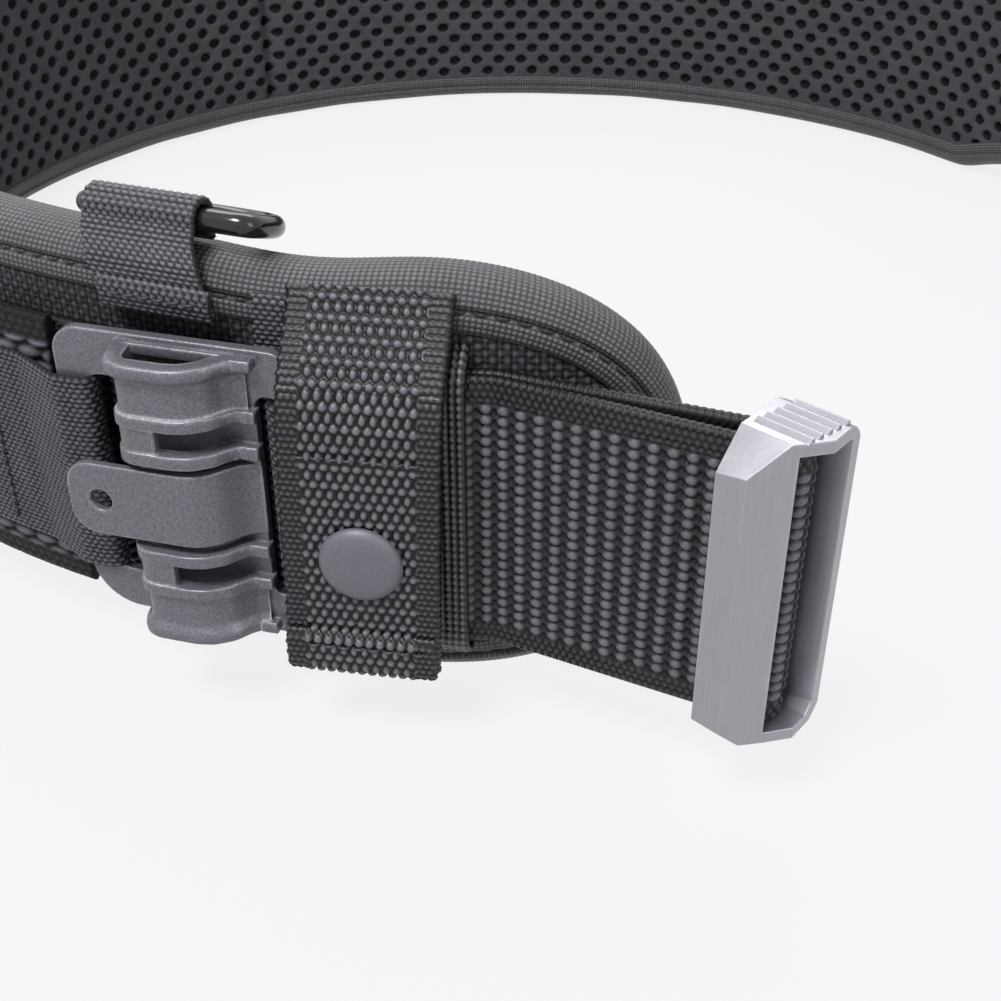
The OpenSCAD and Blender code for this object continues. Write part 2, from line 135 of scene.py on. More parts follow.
def flat_to_3d(points, z):
    points = np.asarray(points, float)
    return np.concatenate([points, np.full((len(points), 1), float(z))], 1)


def hub_plan(out, along):
    """Plan points given from the hub's middle: out of the plate's face, then along the plate."""
    out, along = np.broadcast_arrays(np.asarray(out, float), np.asarray(along, float))
    turn = HUB_ANGLE + HUB_YAW
    return pol(HUB_FACE, HUB_ANGLE) + pol(1.0, turn) * out[..., None] + pol(1.0, turn + 90) * along[..., None]


# ---------------------------------------------------------------- weaves


def beads(u, v, pitch_u, pitch_v, half_u, half_v, stagger=0.0, lean=0.0, at=(0.0, 0.0)):
    """Height, 0 to 1, of rounded yarn beads on a lattice."""
    u, v = u - at[0], v - at[1]
    row = np.floor(v / pitch_v)
    best = np.zeros(np.broadcast(u, v).shape)
    for step in (-1, 0, 1):
        r = row + step
        shift = stagger * pitch_u * np.mod(r, 2)
        dv = v - (r + 0.5) * pitch_v
        du = u - shift - lean * dv
        du = du - np.round(du / pitch_u) * pitch_u
        best = np.maximum(best, 1 - (du / half_u) ** 2 - (dv / half_v) ** 2)
    return np.sqrt(best)


def edge_share(v, width, border):
    """1 inside a strap's selvedges and 0 in its middle."""
    from_edge = np.minimum(v, width - v)
    return np.clip((border - from_edge) / 0.5 + 0.5, 0, 1)


def load_weave(u, v, width):
    """Chunky webbing: columns of beads with a leaning strand between them."""
    bead = beads(u, v, 3.15, 1.96, 1.28, 1.04)
    strand = beads(u, v, 3.15, 1.96, 0.55, 0.95, lean=-0.6, at=(-1.58, 0.5))
    middle = np.maximum(0.95 * bead, 0.5 * strand)
    border = 0.6 * beads(u, v, 1.31, 1.2, 0.66, 0.72, stagger=0.5)
    k = edge_share(v, width, 3.6)
    return middle * (1 - k) + border * k


def keeper_weave(u, v, width):
    """Basket webbing: flat ovals and upright ovals in turn, with three-column selvedges."""
    across = beads(v, u, 1.8, 3.4, 0.88, 0.8)
    upright = beads(v, u, 1.8, 3.4, 0.7, 1.0, at=(0.9, 1.7))
    middle = 0.75 * np.maximum(across, upright)
    border = 0.55 * beads(v, u, 1.15, 1.13, 0.66, 0.5, stagger=0.5)
    k = edge_share(v, width, 3.2)
    return middle * (1 - k) + border * k


def backing_weave(u, v, width):
    """Tight webbing of small upright beads."""
    return 0.45 * beads(v, u, 1.2, 1.4, 0.56, 0.72)


def knit_weave(u, v, width):
    """Fine knitted tape."""
    return 0.3 * beads(u, v, 1.3, 0.92, 0.7, 0.5, stagger=0.5)


def ribbed_weave(u, v, width):
    """Webbing ribbed across its length, each rib a row of small beads."""
    return 0.4 * beads(v, u, 1.45, 0.85, 0.78, 0.44, stagger=0.5)


def rope_weave(u, v, width):
    """Thick strands that lean along the strap."""
    rope = beads(u, v, 5.4, 2.5, 2.9, 1.4, stagger=0.5, lean=0.35)
    border = 0.4 * beads(u, v, 2.0, 1.5, 1.05, 0.85, stagger=0.5)
    k = edge_share(v, width, 4.0)
    return 0.85 * rope * (1 - k) + border * k


def basket_weave(u, v):
    """Coarse basket cloth of the pad's shell."""
    flat = beads(u, v, 2.3, 1.15, 0.82, 0.56, stagger=0.5)
    upright = beads(u, v, 2.3, 1.15, 0.42, 0.78, stagger=0.5, at=(1.15, 0.0))
    return np.maximum(0.4 * flat, 0.3 * upright)


# ---------------------------------------------------------------- meshes


def place(points, side):
    """Loop millimetres to row-frame metres, mirrored for the right-hand side."""
    out = np.array(points, float)
    if side == "right":
        out[..., 0] *= -1
    out[..., 1] += LOOP_Y
    return out * MM


def grid_faces(n, m, around=False):
    i, j = np.meshgrid(np.arange(n - 1), np.arange(m if around else m - 1), indexing="ij")
    nxt = (j + 1) % m
    return np.stack([i * m + j, (i + 1) * m + j, (i + 1) * m + nxt, i * m + nxt], -1).reshape(-1, 4)


def new_object(name, data):
    obj = bpy.data.objects.new(name, data)
    bpy.context.scene.collection.objects.link(obj)
    return obj


def turned(side, other, around):
    """Directions round a circle spanned by two vectors."""
    a = np.linspace(0, 2 * math.pi, around, endpoint=False)
    return side[:, None] * np.cos(a)[None, :, None] + other[:, None] * np.sin(a)[None, :, None]


class Shape:
    """Collects vertices, faces and the two fabric attributes of one piece."""

    def __init__(self):
        self.points, self.faces, self.relief, self.flat, self.count = [], [], [], [], 0

    def add(self, points, faces, relief=None, flat=None):
        points = np.asarray(points, float).reshape(-1, 3)
        n = len(points)
        self.points.append(points)
        self.faces.append(faces + self.count)
        self.relief.append(np.full(n, 0.6) if relief is None else np.asarray(relief, float).reshape(-1))
        self.flat.append(np.zeros((n, 2)) if flat is None else np.asarray(flat, float).reshape(-1, 2))
        self.count += n
        return self

    def build(self, name, side, material, body, node_names, slot=None):
        """Makes the piece with its material. The slot argument is not used."""
        points = place(np.concatenate(self.points), side)
        mesh = bpy.data.meshes.new(name)
        mesh.vertices.add(len(points))
        mesh.vertices.foreach_set("co", points.astype(np.float32).ravel())
        quads = np.concatenate(self.faces)
        if side == "right":
            quads = quads[:, ::-1]
        # A quad whose last two corners match is a triangle
        three = quads[:, 2] == quads[:, 3]
        if side == "right":
            three = quads[:, 0] == quads[:, 1]
        four, tri = quads[~three], quads[three]
        tri = tri[:, 1:] if side == "right" else tri[:, :3]
        index = np.concatenate([four.ravel(), tri.ravel()]).astype(np.int32)
        sizes = np.r_[np.full(len(four), 4), np.full(len(tri), 3)]
        mesh.loops.add(len(index))
        mesh.loops.foreach_set("vertex_index", index)
        mesh.polygons.add(len(sizes))
        mesh.polygons.foreach_set("loop_start", np.r_[0, np.cumsum(sizes)[:-1]].astype(np.int32))
        mesh.polygons.foreach_set("use_smooth", np.full(len(sizes), True))
        mesh.update(calc_edges=True)
        mesh.attributes.new("relief", "FLOAT", "POINT").data.foreach_set(
            "value", np.concatenate(self.relief).astype(np.float32))
        flat = np.concatenate(self.flat)
        flat = np.concatenate([flat, np.zeros((len(flat), 1))], 1)
        mesh.attributes.new("flat", "FLOAT_VECTOR", "POINT").data.foreach_set(
            "vector", flat.astype(np.float32).ravel())
        obj = new_object(name, mesh)
        mesh.materials.append(MATERIALS[material])
        if body:
            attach(obj, body)
        if node_names:
            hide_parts(*node_names)
        return obj


def strap_shape(path, across, width, thick, weave, step=0.35, fine=0.25, coarse=0.6, shape=None):
    """A woven strap swept along a 3-D path: woven front, rounded edges, woven back."""
    shape = shape or Shape()
    path = resample(path, step)
    run = lengths(path)
    tangent = unit(np.gradient(path, axis=0))
    across = np.broadcast_to(np.asarray(across, float), path.shape)
    normal = unit(np.cross(tangent, across))
    half = thick / 2
    front = np.linspace(0, width, max(3, int(width / fine) + 1))
    back = np.linspace(width, 0, max(3, int(width / coarse) + 1))
    turn = np.radians(np.array([60.0, 20.0, -20.0, -60.0]))
    edge_v, edge_n = np.cos(turn), np.sin(turn)
    v = np.concatenate([front, width + half * edge_v * 0.8, back, -half * edge_v[::-1] * 0.8])
    nv = np.concatenate([np.zeros(len(front)), edge_v, np.zeros(len(back)), -edge_v[::-1]])
    nn = np.concatenate([np.ones(len(front)), edge_n, -np.ones(len(back)), edge_n[::-1]])
    n = half * nn
    share = np.concatenate([np.ones(len(front)), np.full(4, 0.6), np.full(len(back), 0.8), np.full(4, 0.6)])
    step_v = np.arange(4) * 0.3
    flat_v = np.concatenate([front, width + half + step_v, back, -half - step_v[::-1]])
    u = run[:, None] + 0 * v[None]
    height = weave(u, np.clip(v, 0, width)[None] + 0 * u, width) * share
    lift = height - WEAVE_SINK
    points = (path[:, None] + across[:, None] * v[None, :, None] + normal[:, None] * n[None, :, None]
              + (across[:, None] * nv[None, :, None] + normal[:, None] * nn[None, :, None]) * lift[..., None])
    # Closing rings pull the ends in to the strap's middle
    closing = [path[k][None] + across[k][None] * v[:, None] for k in (0, -1)]
    points = np.concatenate([closing[0][None], points, closing[1][None]])
    top = max(height.max(), 1e-6)
    relief = np.concatenate([height[:1] * 0, height / top, height[:1] * 0])
    flat = np.stack([np.concatenate([u[:1], u, u[-1:]]),
                     np.broadcast_to(flat_v, (len(path) + 2, len(v)))], -1)
    return shape.add(points, grid_faces(len(path) + 2, len(v), around=True), relief, flat)


def sweep_shape(path, ring, shape):
    """A solid strip: a cross-section ring (out, up) carried along a plan path, its ends capped."""
    path = np.asarray(path, float)
    tangent = unit(np.gradient(path, axis=0))
    normal = np.stack([tangent[:, 1], -tangent[:, 0]], -1)
    body = np.concatenate([path[:, None] + normal[:, None] * ring[None, :, :1],
                           np.broadcast_to(ring[None, :, 1:], (len(path), len(ring), 1))], -1)
    middle = ring.mean(0)
    ends = []
    for k, sign in ((0, -1), (-1, 1)):
        off = ring - middle
        inner = middle + off * np.clip(1 - END_BEVEL / np.maximum(np.abs(off).max(0), 1e-6), 0, 1)
        at = path[k] + tangent[k] * sign * END_BEVEL * 0.8
        near = np.concatenate([at + normal[k] * inner[:, :1], inner[:, 1:]], -1)
        centre = np.broadcast_to(np.r_[at + normal[k] * middle[0], middle[1]], near.shape)
        ends.append((near, centre))
    rows = np.concatenate([ends[0][1][None], ends[0][0][None], body, ends[1][0][None], ends[1][1][None]])
    return shape.add(rows, grid_faces(len(rows), len(ring), around=True))


def flat_plate(outlines, thick, bevel):
    """Triangles of a bevelled plate cut to outlines: the first is its edge, the others are holes.
    Its own X and Y are the outlines', and Z runs from minus thick to 0."""
    curve = bpy.data.curves.new("outline", "CURVE")
    curve.dimensions, curve.fill_mode = "2D", "BOTH"
    curve.extrude, curve.bevel_depth = max(thick / 2 - bevel, 1e-4), bevel
    curve.bevel_resolution, curve.offset = 2, -bevel
    for outline in outlines:
        spline = curve.splines.new("POLY")
        spline.points.add(len(outline) - 1)
        spline.points.foreach_set("co", np.concatenate(
            [np.asarray(outline, float), np.zeros((len(outline), 1)), np.ones((len(outline), 1))], 1).ravel())
        spline.use_cyclic_u = True
    obj = new_object("outline", curve)
    mesh = bpy.data.meshes.new_from_object(obj.evaluated_get(bpy.context.evaluated_depsgraph_get()))
    work = bmesh.new()
    work.from_mesh(mesh)
    bmesh.ops.remove_doubles(work, verts=work.verts, dist=1e-4)
    bmesh.ops.translate(work, verts=work.verts, vec=(0, 0, -thick / 2))
    bpy.data.objects.remove(obj)
    bpy.data.curves.remove(curve)
    bpy.data.meshes.remove(mesh)
    return work


def plate_arrays(work):
    """Vertices and triangles of a plate, which is then freed."""
    bmesh.ops.triangulate(work, faces=work.faces)
    bmesh.ops.recalc_face_normals(work, faces=work.faces)
    work.verts.index_update()
    points = np.array([v.co for v in work.verts], float)
    faces = np.array([[v.index for v in f.verts] + [f.verts[2].index] for f in work.faces])
    work.free()
    return points, faces


def rounded_outline(low, high, radius, steps=8):
    """A rectangle from its low to its high corner, corners rounded; radius is one number or four."""
    (x0, y0), (x1, y1) = low, high
    r = np.broadcast_to(radius, 4)
    corners = [((x1 - r[0], y1 - r[0]), 0, r[0]), ((x0 + r[1], y1 - r[1]), 90, r[1]),
               ((x0 + r[2], y0 + r[2]), 180, r[2]), ((x1 - r[3], y0 + r[3]), 270, r[3])]
    return np.concatenate([arc(k, start, start + 90, steps, c) for c, start, k in corners])


def lathe_shape(profile, to_space, around):
    """A turned piece: profile of (radius, height), stood in space by to_space."""
    a = np.linspace(0, 2 * math.pi, around, endpoint=False)
    profile = np.asarray(profile, float)
    local = np.stack([profile[:, :1] * np.cos(a), profile[:, :1] * np.sin(a),
                      np.broadcast_to(profile[:, 1:], (len(profile), around))], -1)
    return Shape().add(to_space(local), grid_faces(len(profile), around, around=True))


def ring_tube(path, radius, around):
    """A round wire along a closed 3-D path."""
    tangent = unit(np.roll(path, -1, 0) - np.roll(path, 1, 0))
    first = np.cross(tangent[0], UP)
    if np.linalg.norm(first) < 0.1:
        first = np.cross(tangent[0], [1.0, 0, 0])
    side = [unit(first)]
    for t in tangent[1:]:
        side.append(unit(side[-1] - t * (side[-1] @ t)))
    side = np.array(side)
    rings = path[:, None] + radius * turned(side, np.cross(tangent, side), around)
    rings = np.concatenate([rings, rings[:1]])
    return Shape().add(rings, grid_faces(len(rings), around, around=True))


def stitches(path, out, length, pitch, radius, shape=None):
    """Thread stitches lying along a path: out is the surface normal at each path point."""
    shape = shape or Shape()
    run = lengths(path)
    t = np.linspace(0, 1, 5)
    lift = np.array([-0.35, 0.12, 0.2, 0.12, -0.35])
    for start in np.arange(pitch / 2, run[-1] - length, pitch):
        at = start + t * length
        core = np.stack([np.interp(at, run, path[:, k]) for k in range(3)], -1)
        o = unit(np.stack([np.interp(at, run, out[:, k]) for k in range(3)], -1))
        w = np.cross(unit(np.gradient(core, axis=0)), o)
        core = core + o * lift[:, None]
        shape.add(core[:, None] + radius * turned(w, o, 6), grid_faces(5, 6, around=True))
    return shape


def stitch_row(shape, angle, out, along, up, length, pitch, radius):
    """A row of stitches on a face that stands at an angle round the loop."""
    path = stand(angle, out, along, up)
    return stitches(path, stand(angle, 1, 0 * path[:, 0], 0), length, pitch, radius, shape)


# ---------------------------------------------------------------- materials

MATERIALS = {}


def add_node(tree, kind, settings=None, inputs=None):
    node = tree.nodes.new(kind)
    for key, value in (settings or {}).items():
        setattr(node, key, value)
    for key, value in (inputs or {}).items():
        if isinstance(value, bpy.types.NodeSocket):
            tree.links.new(value, node.inputs[key])
        else:
            node.inputs[key].default_value = value
    return node


def maths(tree, operation, *values):
    return add_node(tree, "ShaderNodeMath", {"operation": operation}, dict(enumerate(values))).outputs[0]


def ranged(tree, value, low, high, to_low, to_high):
    return add_node(tree, "ShaderNodeMapRange", inputs={
        "Value": value, "From Min": low, "From Max": high, "To Min": to_low, "To Max": to_high}).outputs[0]


def noise(tree, where, scale, detail, roughness=0.5):
    return add_node(tree, "ShaderNodeTexNoise", inputs={
        "Vector": where, "Scale": scale, "Detail": detail, "Roughness": roughness}).outputs["Fac"]


def scaled(tree, colour, by):
    return add_node(tree, "ShaderNodeVectorMath", {"operation": "SCALE"}, {0: colour, "Scale": by}).outputs[0]


def surface(tree, out, bump, inputs):
    """A principled surface with a bump of (strength, distance, height)."""
    normal = add_node(tree, "ShaderNodeBump", inputs=dict(zip(("Strength", "Distance", "Height"), bump)))
    shader = add_node(tree, "ShaderNodeBsdfPrincipled", inputs={**inputs, "Normal": normal.outputs[0]})
    tree.links.new(shader.outputs[0], out.inputs[0])


def new_material(name):
    material = bpy.data.materials.new(name)
    material.use_nodes = True
    tree = material.node_tree
    tree.nodes.clear()
    out = add_node(tree, "ShaderNodeOutputMaterial")
    MATERIALS[name] = material
    return tree, out


def mixed(tree, factor, low, high):
    node = add_node(tree, "ShaderNodeMix", {"data_type": "RGBA"})
    for socket, value in ((node.inputs[0], factor), (node.inputs[6], low), (node.inputs[7], high)):
        if isinstance(value, bpy.types.NodeSocket):
            tree.links.new(value, socket)
        else:
            socket.default_value = value if isinstance(value, float) else (*value[:3], 1.0)
    return node.outputs[2]


def grid_knots(tree, flat, pitch):
    """0 to 1: small rounded knots of thread on a lattice of the given pitch."""
    parts = add_node(tree, "ShaderNodeSeparateXYZ", inputs={"Vector": flat}).outputs
    waves = [maths(tree, "ABSOLUTE", maths(tree, "SINE", maths(tree, "MULTIPLY", part, math.pi / size)))
             for part, size in zip(parts, pitch)]
    return maths(tree, "MULTIPLY", *waves)


def cloth(name, top, painted_gap_shade, roughness=0.6, sheen=0.25, thread=(1.1, 4.5), strength=0.35, grid=None,
          specular=0.18):
    """Yarn with painted shade in the gaps that the relief leaves, near black where it is lowest, and fine
    fibres running along the thread.
    """
    tree, out = new_material(name)
    relief = add_node(tree, "ShaderNodeAttribute", {"attribute_name": "relief"}).outputs["Fac"]
    flat = add_node(tree, "ShaderNodeAttribute", {"attribute_name": "flat"}).outputs["Vector"]
    drawn = add_node(tree, "ShaderNodeMapping", inputs={"Vector": flat, "Scale": (*thread, 1.0)}).outputs[0]
    fibre = noise(tree, drawn, 3.2, 3.0, 0.6)
    # Painted shade: the colour falls to near black in the low places between the beads and reaches the yarn
    # colour only on their crowns.
    ramp = maths(tree, "POWER", ranged(tree, relief, 0.2, 0.9, 0.0, 1.0), 2.0)
    height = fibre
    if grid:
        knots = grid_knots(tree, flat, grid)
        # The knots darken the colour between them too: more painted shade.
        ramp = maths(tree, "MULTIPLY", ramp, knots)
        height = maths(tree, "MULTIPLY_ADD", knots, 2.0, fibre)
    shade = ranged(tree, fibre, 0.3, 0.7, 0.78, 1.22)
    age = ranged(tree, noise(tree, flat, 0.11, 2.0), 0.3, 0.7, 0.88, 1.12)
    colour = scaled(tree, mixed(tree, ramp, painted_gap_shade, top), maths(tree, "MULTIPLY", shade, age))
    surface(tree, out, (strength, 0.00012, height), {
        "Base Color": colour, "Roughness": roughness, "Sheen Weight": sheen, "Sheen Roughness": 0.45,
        "Specular IOR Level": specular})


def metal(name, colour, worn_and_highlit, roughness, metallic, grain, speckle, wear_and_highlight=0.6, brushed=False):
    """Coated or bare metal with a fine grain, and lighter along its edges: partly bare metal rubbed through,
    partly a painted highlight.
    """
    tree, out = new_material(name)
    where = add_node(tree, "ShaderNodeTexCoord").outputs["Object"]
    stretch = add_node(tree, "ShaderNodeMapping", inputs={
        "Vector": where, "Scale": (1.0, 1.0, 0.06) if brushed else (1.0, 1.0, 1.0)}).outputs[0]
    fine = noise(tree, stretch, 2600.0, 2.0, 0.6)
    broad = noise(tree, where, 90.0, 3.0, 0.55)
    # Edge mask from the rounded normal: the colour goes lighter along the edges, part rubbed bare metal and
    # part painted highlight.
    soft = add_node(tree, "ShaderNodeBevel", {"samples": 6}, {"Radius": 0.0008}).outputs[0]
    true = add_node(tree, "ShaderNodeNewGeometry").outputs["Normal"]
    dot = add_node(tree, "ShaderNodeVectorMath", {"operation": "DOT_PRODUCT"},
                   {0: soft, 1: true}).outputs["Value"]
    edge = ranged(tree, dot, 0.985, 0.9, 0.0, wear_and_highlight)
    edge = maths(tree, "MULTIPLY", edge, ranged(tree, broad, 0.4, 0.62, 0.25, 1.0))
    lift = ranged(tree, fine, 0.35, 0.7, 1 - speckle, 1 + 2 * speckle)
    rough = ranged(tree, broad, 0.3, 0.7, roughness - 0.05, roughness + 0.06)
    surface(tree, out, (grain, 0.00006, fine), {
        "Base Color": scaled(tree, mixed(tree, edge, colour, worn_and_highlit), lift),
        "Roughness": rough, "Metallic": metallic})


def dress_metal(obj, material=None, bevel=0.0):
    """Even highlights on a hard piece: an optional edge bevel, then normals weighted by face area."""
    if material:
        obj.data.materials.clear()
        obj.data.materials.append(MATERIALS[material])
    obj.data.shade_smooth()
    if bevel:
        cut = obj.modifiers.new("bevel", "BEVEL")
        cut.width, cut.segments, cut.limit_method = bevel * MM, 3, "ANGLE"
        cut.angle_limit = math.radians(30)
        cut.harden_normals = False
    else:
        obj.data.set_sharp_from_angle(angle=math.radians(50))
    even = obj.modifiers.new("even", "WEIGHTED_NORMAL")
    even.weight, even.keep_sharp = 80, True
    return obj


# ---------------------------------------------------------------- the pad


def stand(angle, out, along, up):
    """Points standing at an angle round the loop: out from its centre, along the pad, up."""
    out, along, up = np.broadcast_arrays(*(np.asarray(k, float) for k in (out, along, up)))
    flat = pol(1.0, angle) * out[..., None] + pol(1.0, angle + 90) * along[..., None]
    return np.concatenate([flat, up[..., None]], -1)


def crosswise(angle):
    """Unit vector along the pad at an angle round the loop."""
    return np.r_[pol(1.0, angle + 90), 0]


def back_face(a, z, depth, shares):
    """Flat back of a padded piece, from its hem points: along, up and depth."""
    low, high = z[:, :1], z[:, -1:]
    up = shares[None] * (high - low) + low
    return np.broadcast_to(a[:, :1], up.shape), up, np.full(up.shape, depth)


def tip_curve():
    """The blunt end of the pad, from its top edge round to its lower edge, in the unrolled pad."""
    turn = np.radians(np.linspace(90, -90, 120))
    power = 2 / TIP_FULLNESS
    across = TIP_RUN * np.cos(turn).clip(0) ** power
    half = (PAD_H - TIP_LOW) / 2
    up = (PAD_H + TIP_LOW) / 2 + half * np.sign(np.sin(turn)) * np.abs(np.sin(turn)) ** power
    return np.stack([unroll(TIP_CENTRE + np.degrees(np.arcsin(across / PAD_R))), up], -1)


def unroll(angle):
    """Distance along the unrolled pad from its centre back to an angle."""
    return np.radians(np.asarray(angle, float) - 90) * PAD_R


def pad_outline(inset=0.0):
    """The unrolled outline of one half: along the top edge, round the tip and back under the arch."""
    top = [[unroll(SEAM_OUT), PAD_H]]
    across = np.linspace(-ARCH_HALF, math.sin(math.radians(TIP_CENTRE - ARCH_ANGLE)) * PAD_R - 2, 60)[::-1]
    arch = np.stack([unroll(ARCH_ANGLE + np.degrees(np.arcsin(across / PAD_R))),
                     ARCH_H - ARCH_R + np.sqrt(ARCH_R**2 - across**2)], -1)
    line = smooth(np.concatenate([top, tip_curve(), arch, [[unroll(SEAM_OUT), 0.0]]]), 0.4, 3.0)
    travel = unit(np.gradient(line, axis=0))
    # The top edge sinks a little where the keeper pulls on it
    sag = 1.8 * np.exp(-((line[:, 0] - unroll(220.5)) / 20.0) ** 2) * (line[:, 1] > PAD_H / 2)
    line = line - np.stack([0 * sag, sag], -1)
    return line + inset * np.stack([travel[:, 1], -travel[:, 0]], -1), travel


def rolled(along, depth, up):
    """Unrolled pad points (along, out of the pad's middle, up) put round the loop."""
    turn = 90 + np.degrees(np.asarray(along, float) / PAD_R)
    radius = MID_R + np.asarray(depth, float)
    return np.stack([radius * np.cos(np.radians(turn)), radius * np.sin(np.radians(turn)),
                     np.broadcast_to(up, turn.shape)], -1)


def make_binding(side, rib_pitch):
    line, travel = pad_outline()
    inward = np.stack([travel[:, 1], -travel[:, 0]], -1)
    turn = np.radians(np.linspace(75, -75, 17))
    roll = np.stack([5.6 - 5.6 * np.cos(turn), 7.1 * np.sin(turn)], -1)
    ring = np.concatenate([
        [(8.2, 5.6), (8.4, 6.5), (8.3, 6.95), (7.9, 7.15), (7.0, 7.2), (6.2, 7.2), (5.7, 7.1), (5.2, 6.8),
         (4.9, 6.4), (4.55, 6.35), (4.3, 6.65)],
        roll,
        [(4.3, -6.6), (4.7, -6.3), (5.1, -6.7), (5.8, -7.0), (6.6, -7.1), (7.5, -7.1), (8.1, -6.9),
         (8.3, -6.4), (8.2, -5.6)]])
    off = unit(np.gradient(ring, axis=0))
    off = np.stack([off[:, 1], -off[:, 0]], -1)
    run, round_ = lengths(line), lengths(ring)
    u, s = np.meshgrid(run, round_, indexing="ij")
    rib = np.cos(2 * np.pi * u / rib_pitch)
    thread = np.cos(2 * np.pi * s / 0.95)
    height = 0.05 * rib * (0.8 + 0.2 * thread)
    # Soft puckers where the tape is stretched round
    height += 0.12 * np.sin(u / 9.0 + 1.3 * np.sin(u / 23.0)) * np.exp(-((s - round_[19]) / 7.0) ** 2)
    d = ring[None, :, 0] + off[None, :, 0] * height
    w = ring[None, :, 1] + off[None, :, 1] * height
    flat = line[:, None] + inward[:, None] * d[..., None]
    points = rolled(flat[..., 0], w, flat[..., 1])
    shape = Shape().add(points, grid_faces(len(line), len(ring), around=True), np.ones_like(rib),
                        np.stack([u, s], -1))
    where = line + inward * 5.0
    out = rolled(where[:, 0], 20, where[:, 1]) - rolled(where[:, 0], 0, where[:, 1])
    thread_shape = stitches(rolled(where[:, 0], 6.72, where[:, 1]), out, length=2.6, pitch=3.5, radius=0.2)
    thread_shape.build("binding_thread_" + side, side, "thread", "belt", (), "binding")
    names = ["top_binding", "bottom_binding"] if side == "left" else []
    return shape.build("binding_" + side, side, "binding", "belt",
                       names + ["arch_binding_" + side, "tip_binding_" + side], "binding")


def pad_face(inset, start, columns, rows):
    """Unrolled grid inside the outline: along the pad, and from its lower to its upper hem."""
    line, _ = pad_outline(inset)
    far = int(np.argmax(line[:, 0]))
    upper, lower = line[: far + 1], line[far:][::-1]
    columns = np.concatenate([columns[columns < line[far, 0] - 0.2], [line[far, 0] - 0.1]])
    columns = columns[columns >= start]
    high = np.interp(columns, upper[:, 0], upper[:, 1])
    low = np.interp(columns, lower[:, 0], lower[:, 1])
    share = np.linspace(0, 1, rows)
    a = np.broadcast_to(columns[:, None], (len(columns), rows))
    tall = (high - low)[:, None]
    return a, low[:, None] + tall * share[None], np.minimum(share, 1 - share) * tall


def make_shell(side):
    fine = unroll(203.0)
    columns = np.concatenate([np.arange(0, fine, 0.85), np.arange(fine, unroll(PAD_END), 0.45)])
    a, z, from_hem = pad_face(HEM, 0.0, columns, 132)
    weave = basket_weave(z, a)
    swell = 0.3 * np.sin(a / 17.0 + 0.8 * np.sin(z / 11.0)) * np.clip(from_hem / 6, 0, 1)
    front = 6.2 + weave + 0.3 * np.clip(from_hem / 5, 0, 1) + swell * (a > fine)
    back = back_face(a, z, 2.0, np.linspace(1, 0, 12))
    all_a, all_z, depth = (np.concatenate(pair, 1) for pair in zip((a, z, front), back))
    relief = np.concatenate([weave / 0.4, np.full(back[0].shape, 0.5)], 1)
    shape = close_ends(rolled(all_a, depth, all_z), relief, np.stack([all_z, all_a], -1))
    obj = shape.build("pad_shell_" + side, side, "shell_fabric", "belt",
                      ["outer_shell_" + side, "pad_core_" + side])
    return obj


def close_ends(points, relief, flat):
    """A ring grid whose first and last rows are closed on their own middles."""
    first = np.broadcast_to(points[0].mean(0), points[:1].shape)
    last = np.broadcast_to(points[-1].mean(0), points[:1].shape)
    rows = np.concatenate([first, points, last])
    relief = np.concatenate([relief[:1], relief, relief[-1:]])
    flat = np.concatenate([flat[:1], flat, flat[-1:]])
    return Shape().add(rows, grid_faces(len(rows), rows.shape[1], around=True), relief, flat)


def make_lining(side, hole_depth):
    start = unroll(CREASE if side == "left" else 180 - CREASE)
    a, z, from_hem = pad_face(HEM, start, np.arange(start, unroll(PAD_END), 0.72), 128)
    well = np.clip(beads(a, z, 9.4, 4.3, 2.35, 1.75, stagger=0.5) * 1.5, 0, 1) ** 2
    well = well * well * (3 - 2 * well) * np.clip((from_hem - 0.4) / 1.2, 0, 1)
    groove = 3.0 * np.exp(-((a - start) / 2.6) ** 2)
    pillow = 0.35 * np.clip(from_hem / 6, 0, 1)
    rib = 0.05 * np.cos(2 * np.pi * z / 1.1)
    front = -(6.2 + pillow) + hole_depth * well + groove - rib
    back = back_face(a, z, -2.0, np.linspace(0, 1, 10))
    all_a, all_z, depth = (np.concatenate([face[:, ::-1], rear], 1)
                           for face, rear in zip((a, z, front), back))
    # The mesh's holes get no relief, so the cloth paints shade into them.
    relief = np.concatenate([(1 - well)[:, ::-1], np.full(back[0].shape, 1.0)], 1)
    shape = close_ends(rolled(all_a, depth, all_z), relief, np.stack([all_a, all_z], -1))
    obj = shape.build("mesh_lining_piece_" + side, side, "mesh", "belt", ["mesh_lining_" + side])
    return obj


# ---------------------------------------------------------------- webbing


def make_load_web():
    path = flat_to_3d(arc(191.0, -45, 225, 400), WEB_Z)
    shape = strap_shape(path, UP, WEB_W, WEB_T, load_weave, step=0.75, fine=0.55, coarse=1.6)
    return shape.build("load_web", "left", "load_web", "belt", ["belt_web"])


def make_web_end(side):
    """The free end: out along the pad, round the buckle pin, and back behind itself."""
    front = arc(193.05, 222.9, WEB_LEAVE, 10)
    back = arc(191.0, WEB_LEAVE, 225, 10)
    run = PIN_AT - pol(192.0, WEB_LEAVE)
    heading = math.degrees(math.atan2(run[1], run[0]))
    fold = arc(2.85, heading - 90, heading + 90, 14, PIN_AT)
    path = smooth(np.concatenate([front, fold, back]), 0.33, 0.9)
    path = flat_to_3d(path, WEB_Z)
    shape = strap_shape(path, UP, WEB_W, WEB_T, load_weave, step=0.33, fine=0.27, coarse=0.8)
    return shape.build("web_end_strap_" + side, side, "load_web", "belt", ["web_end_" + side])


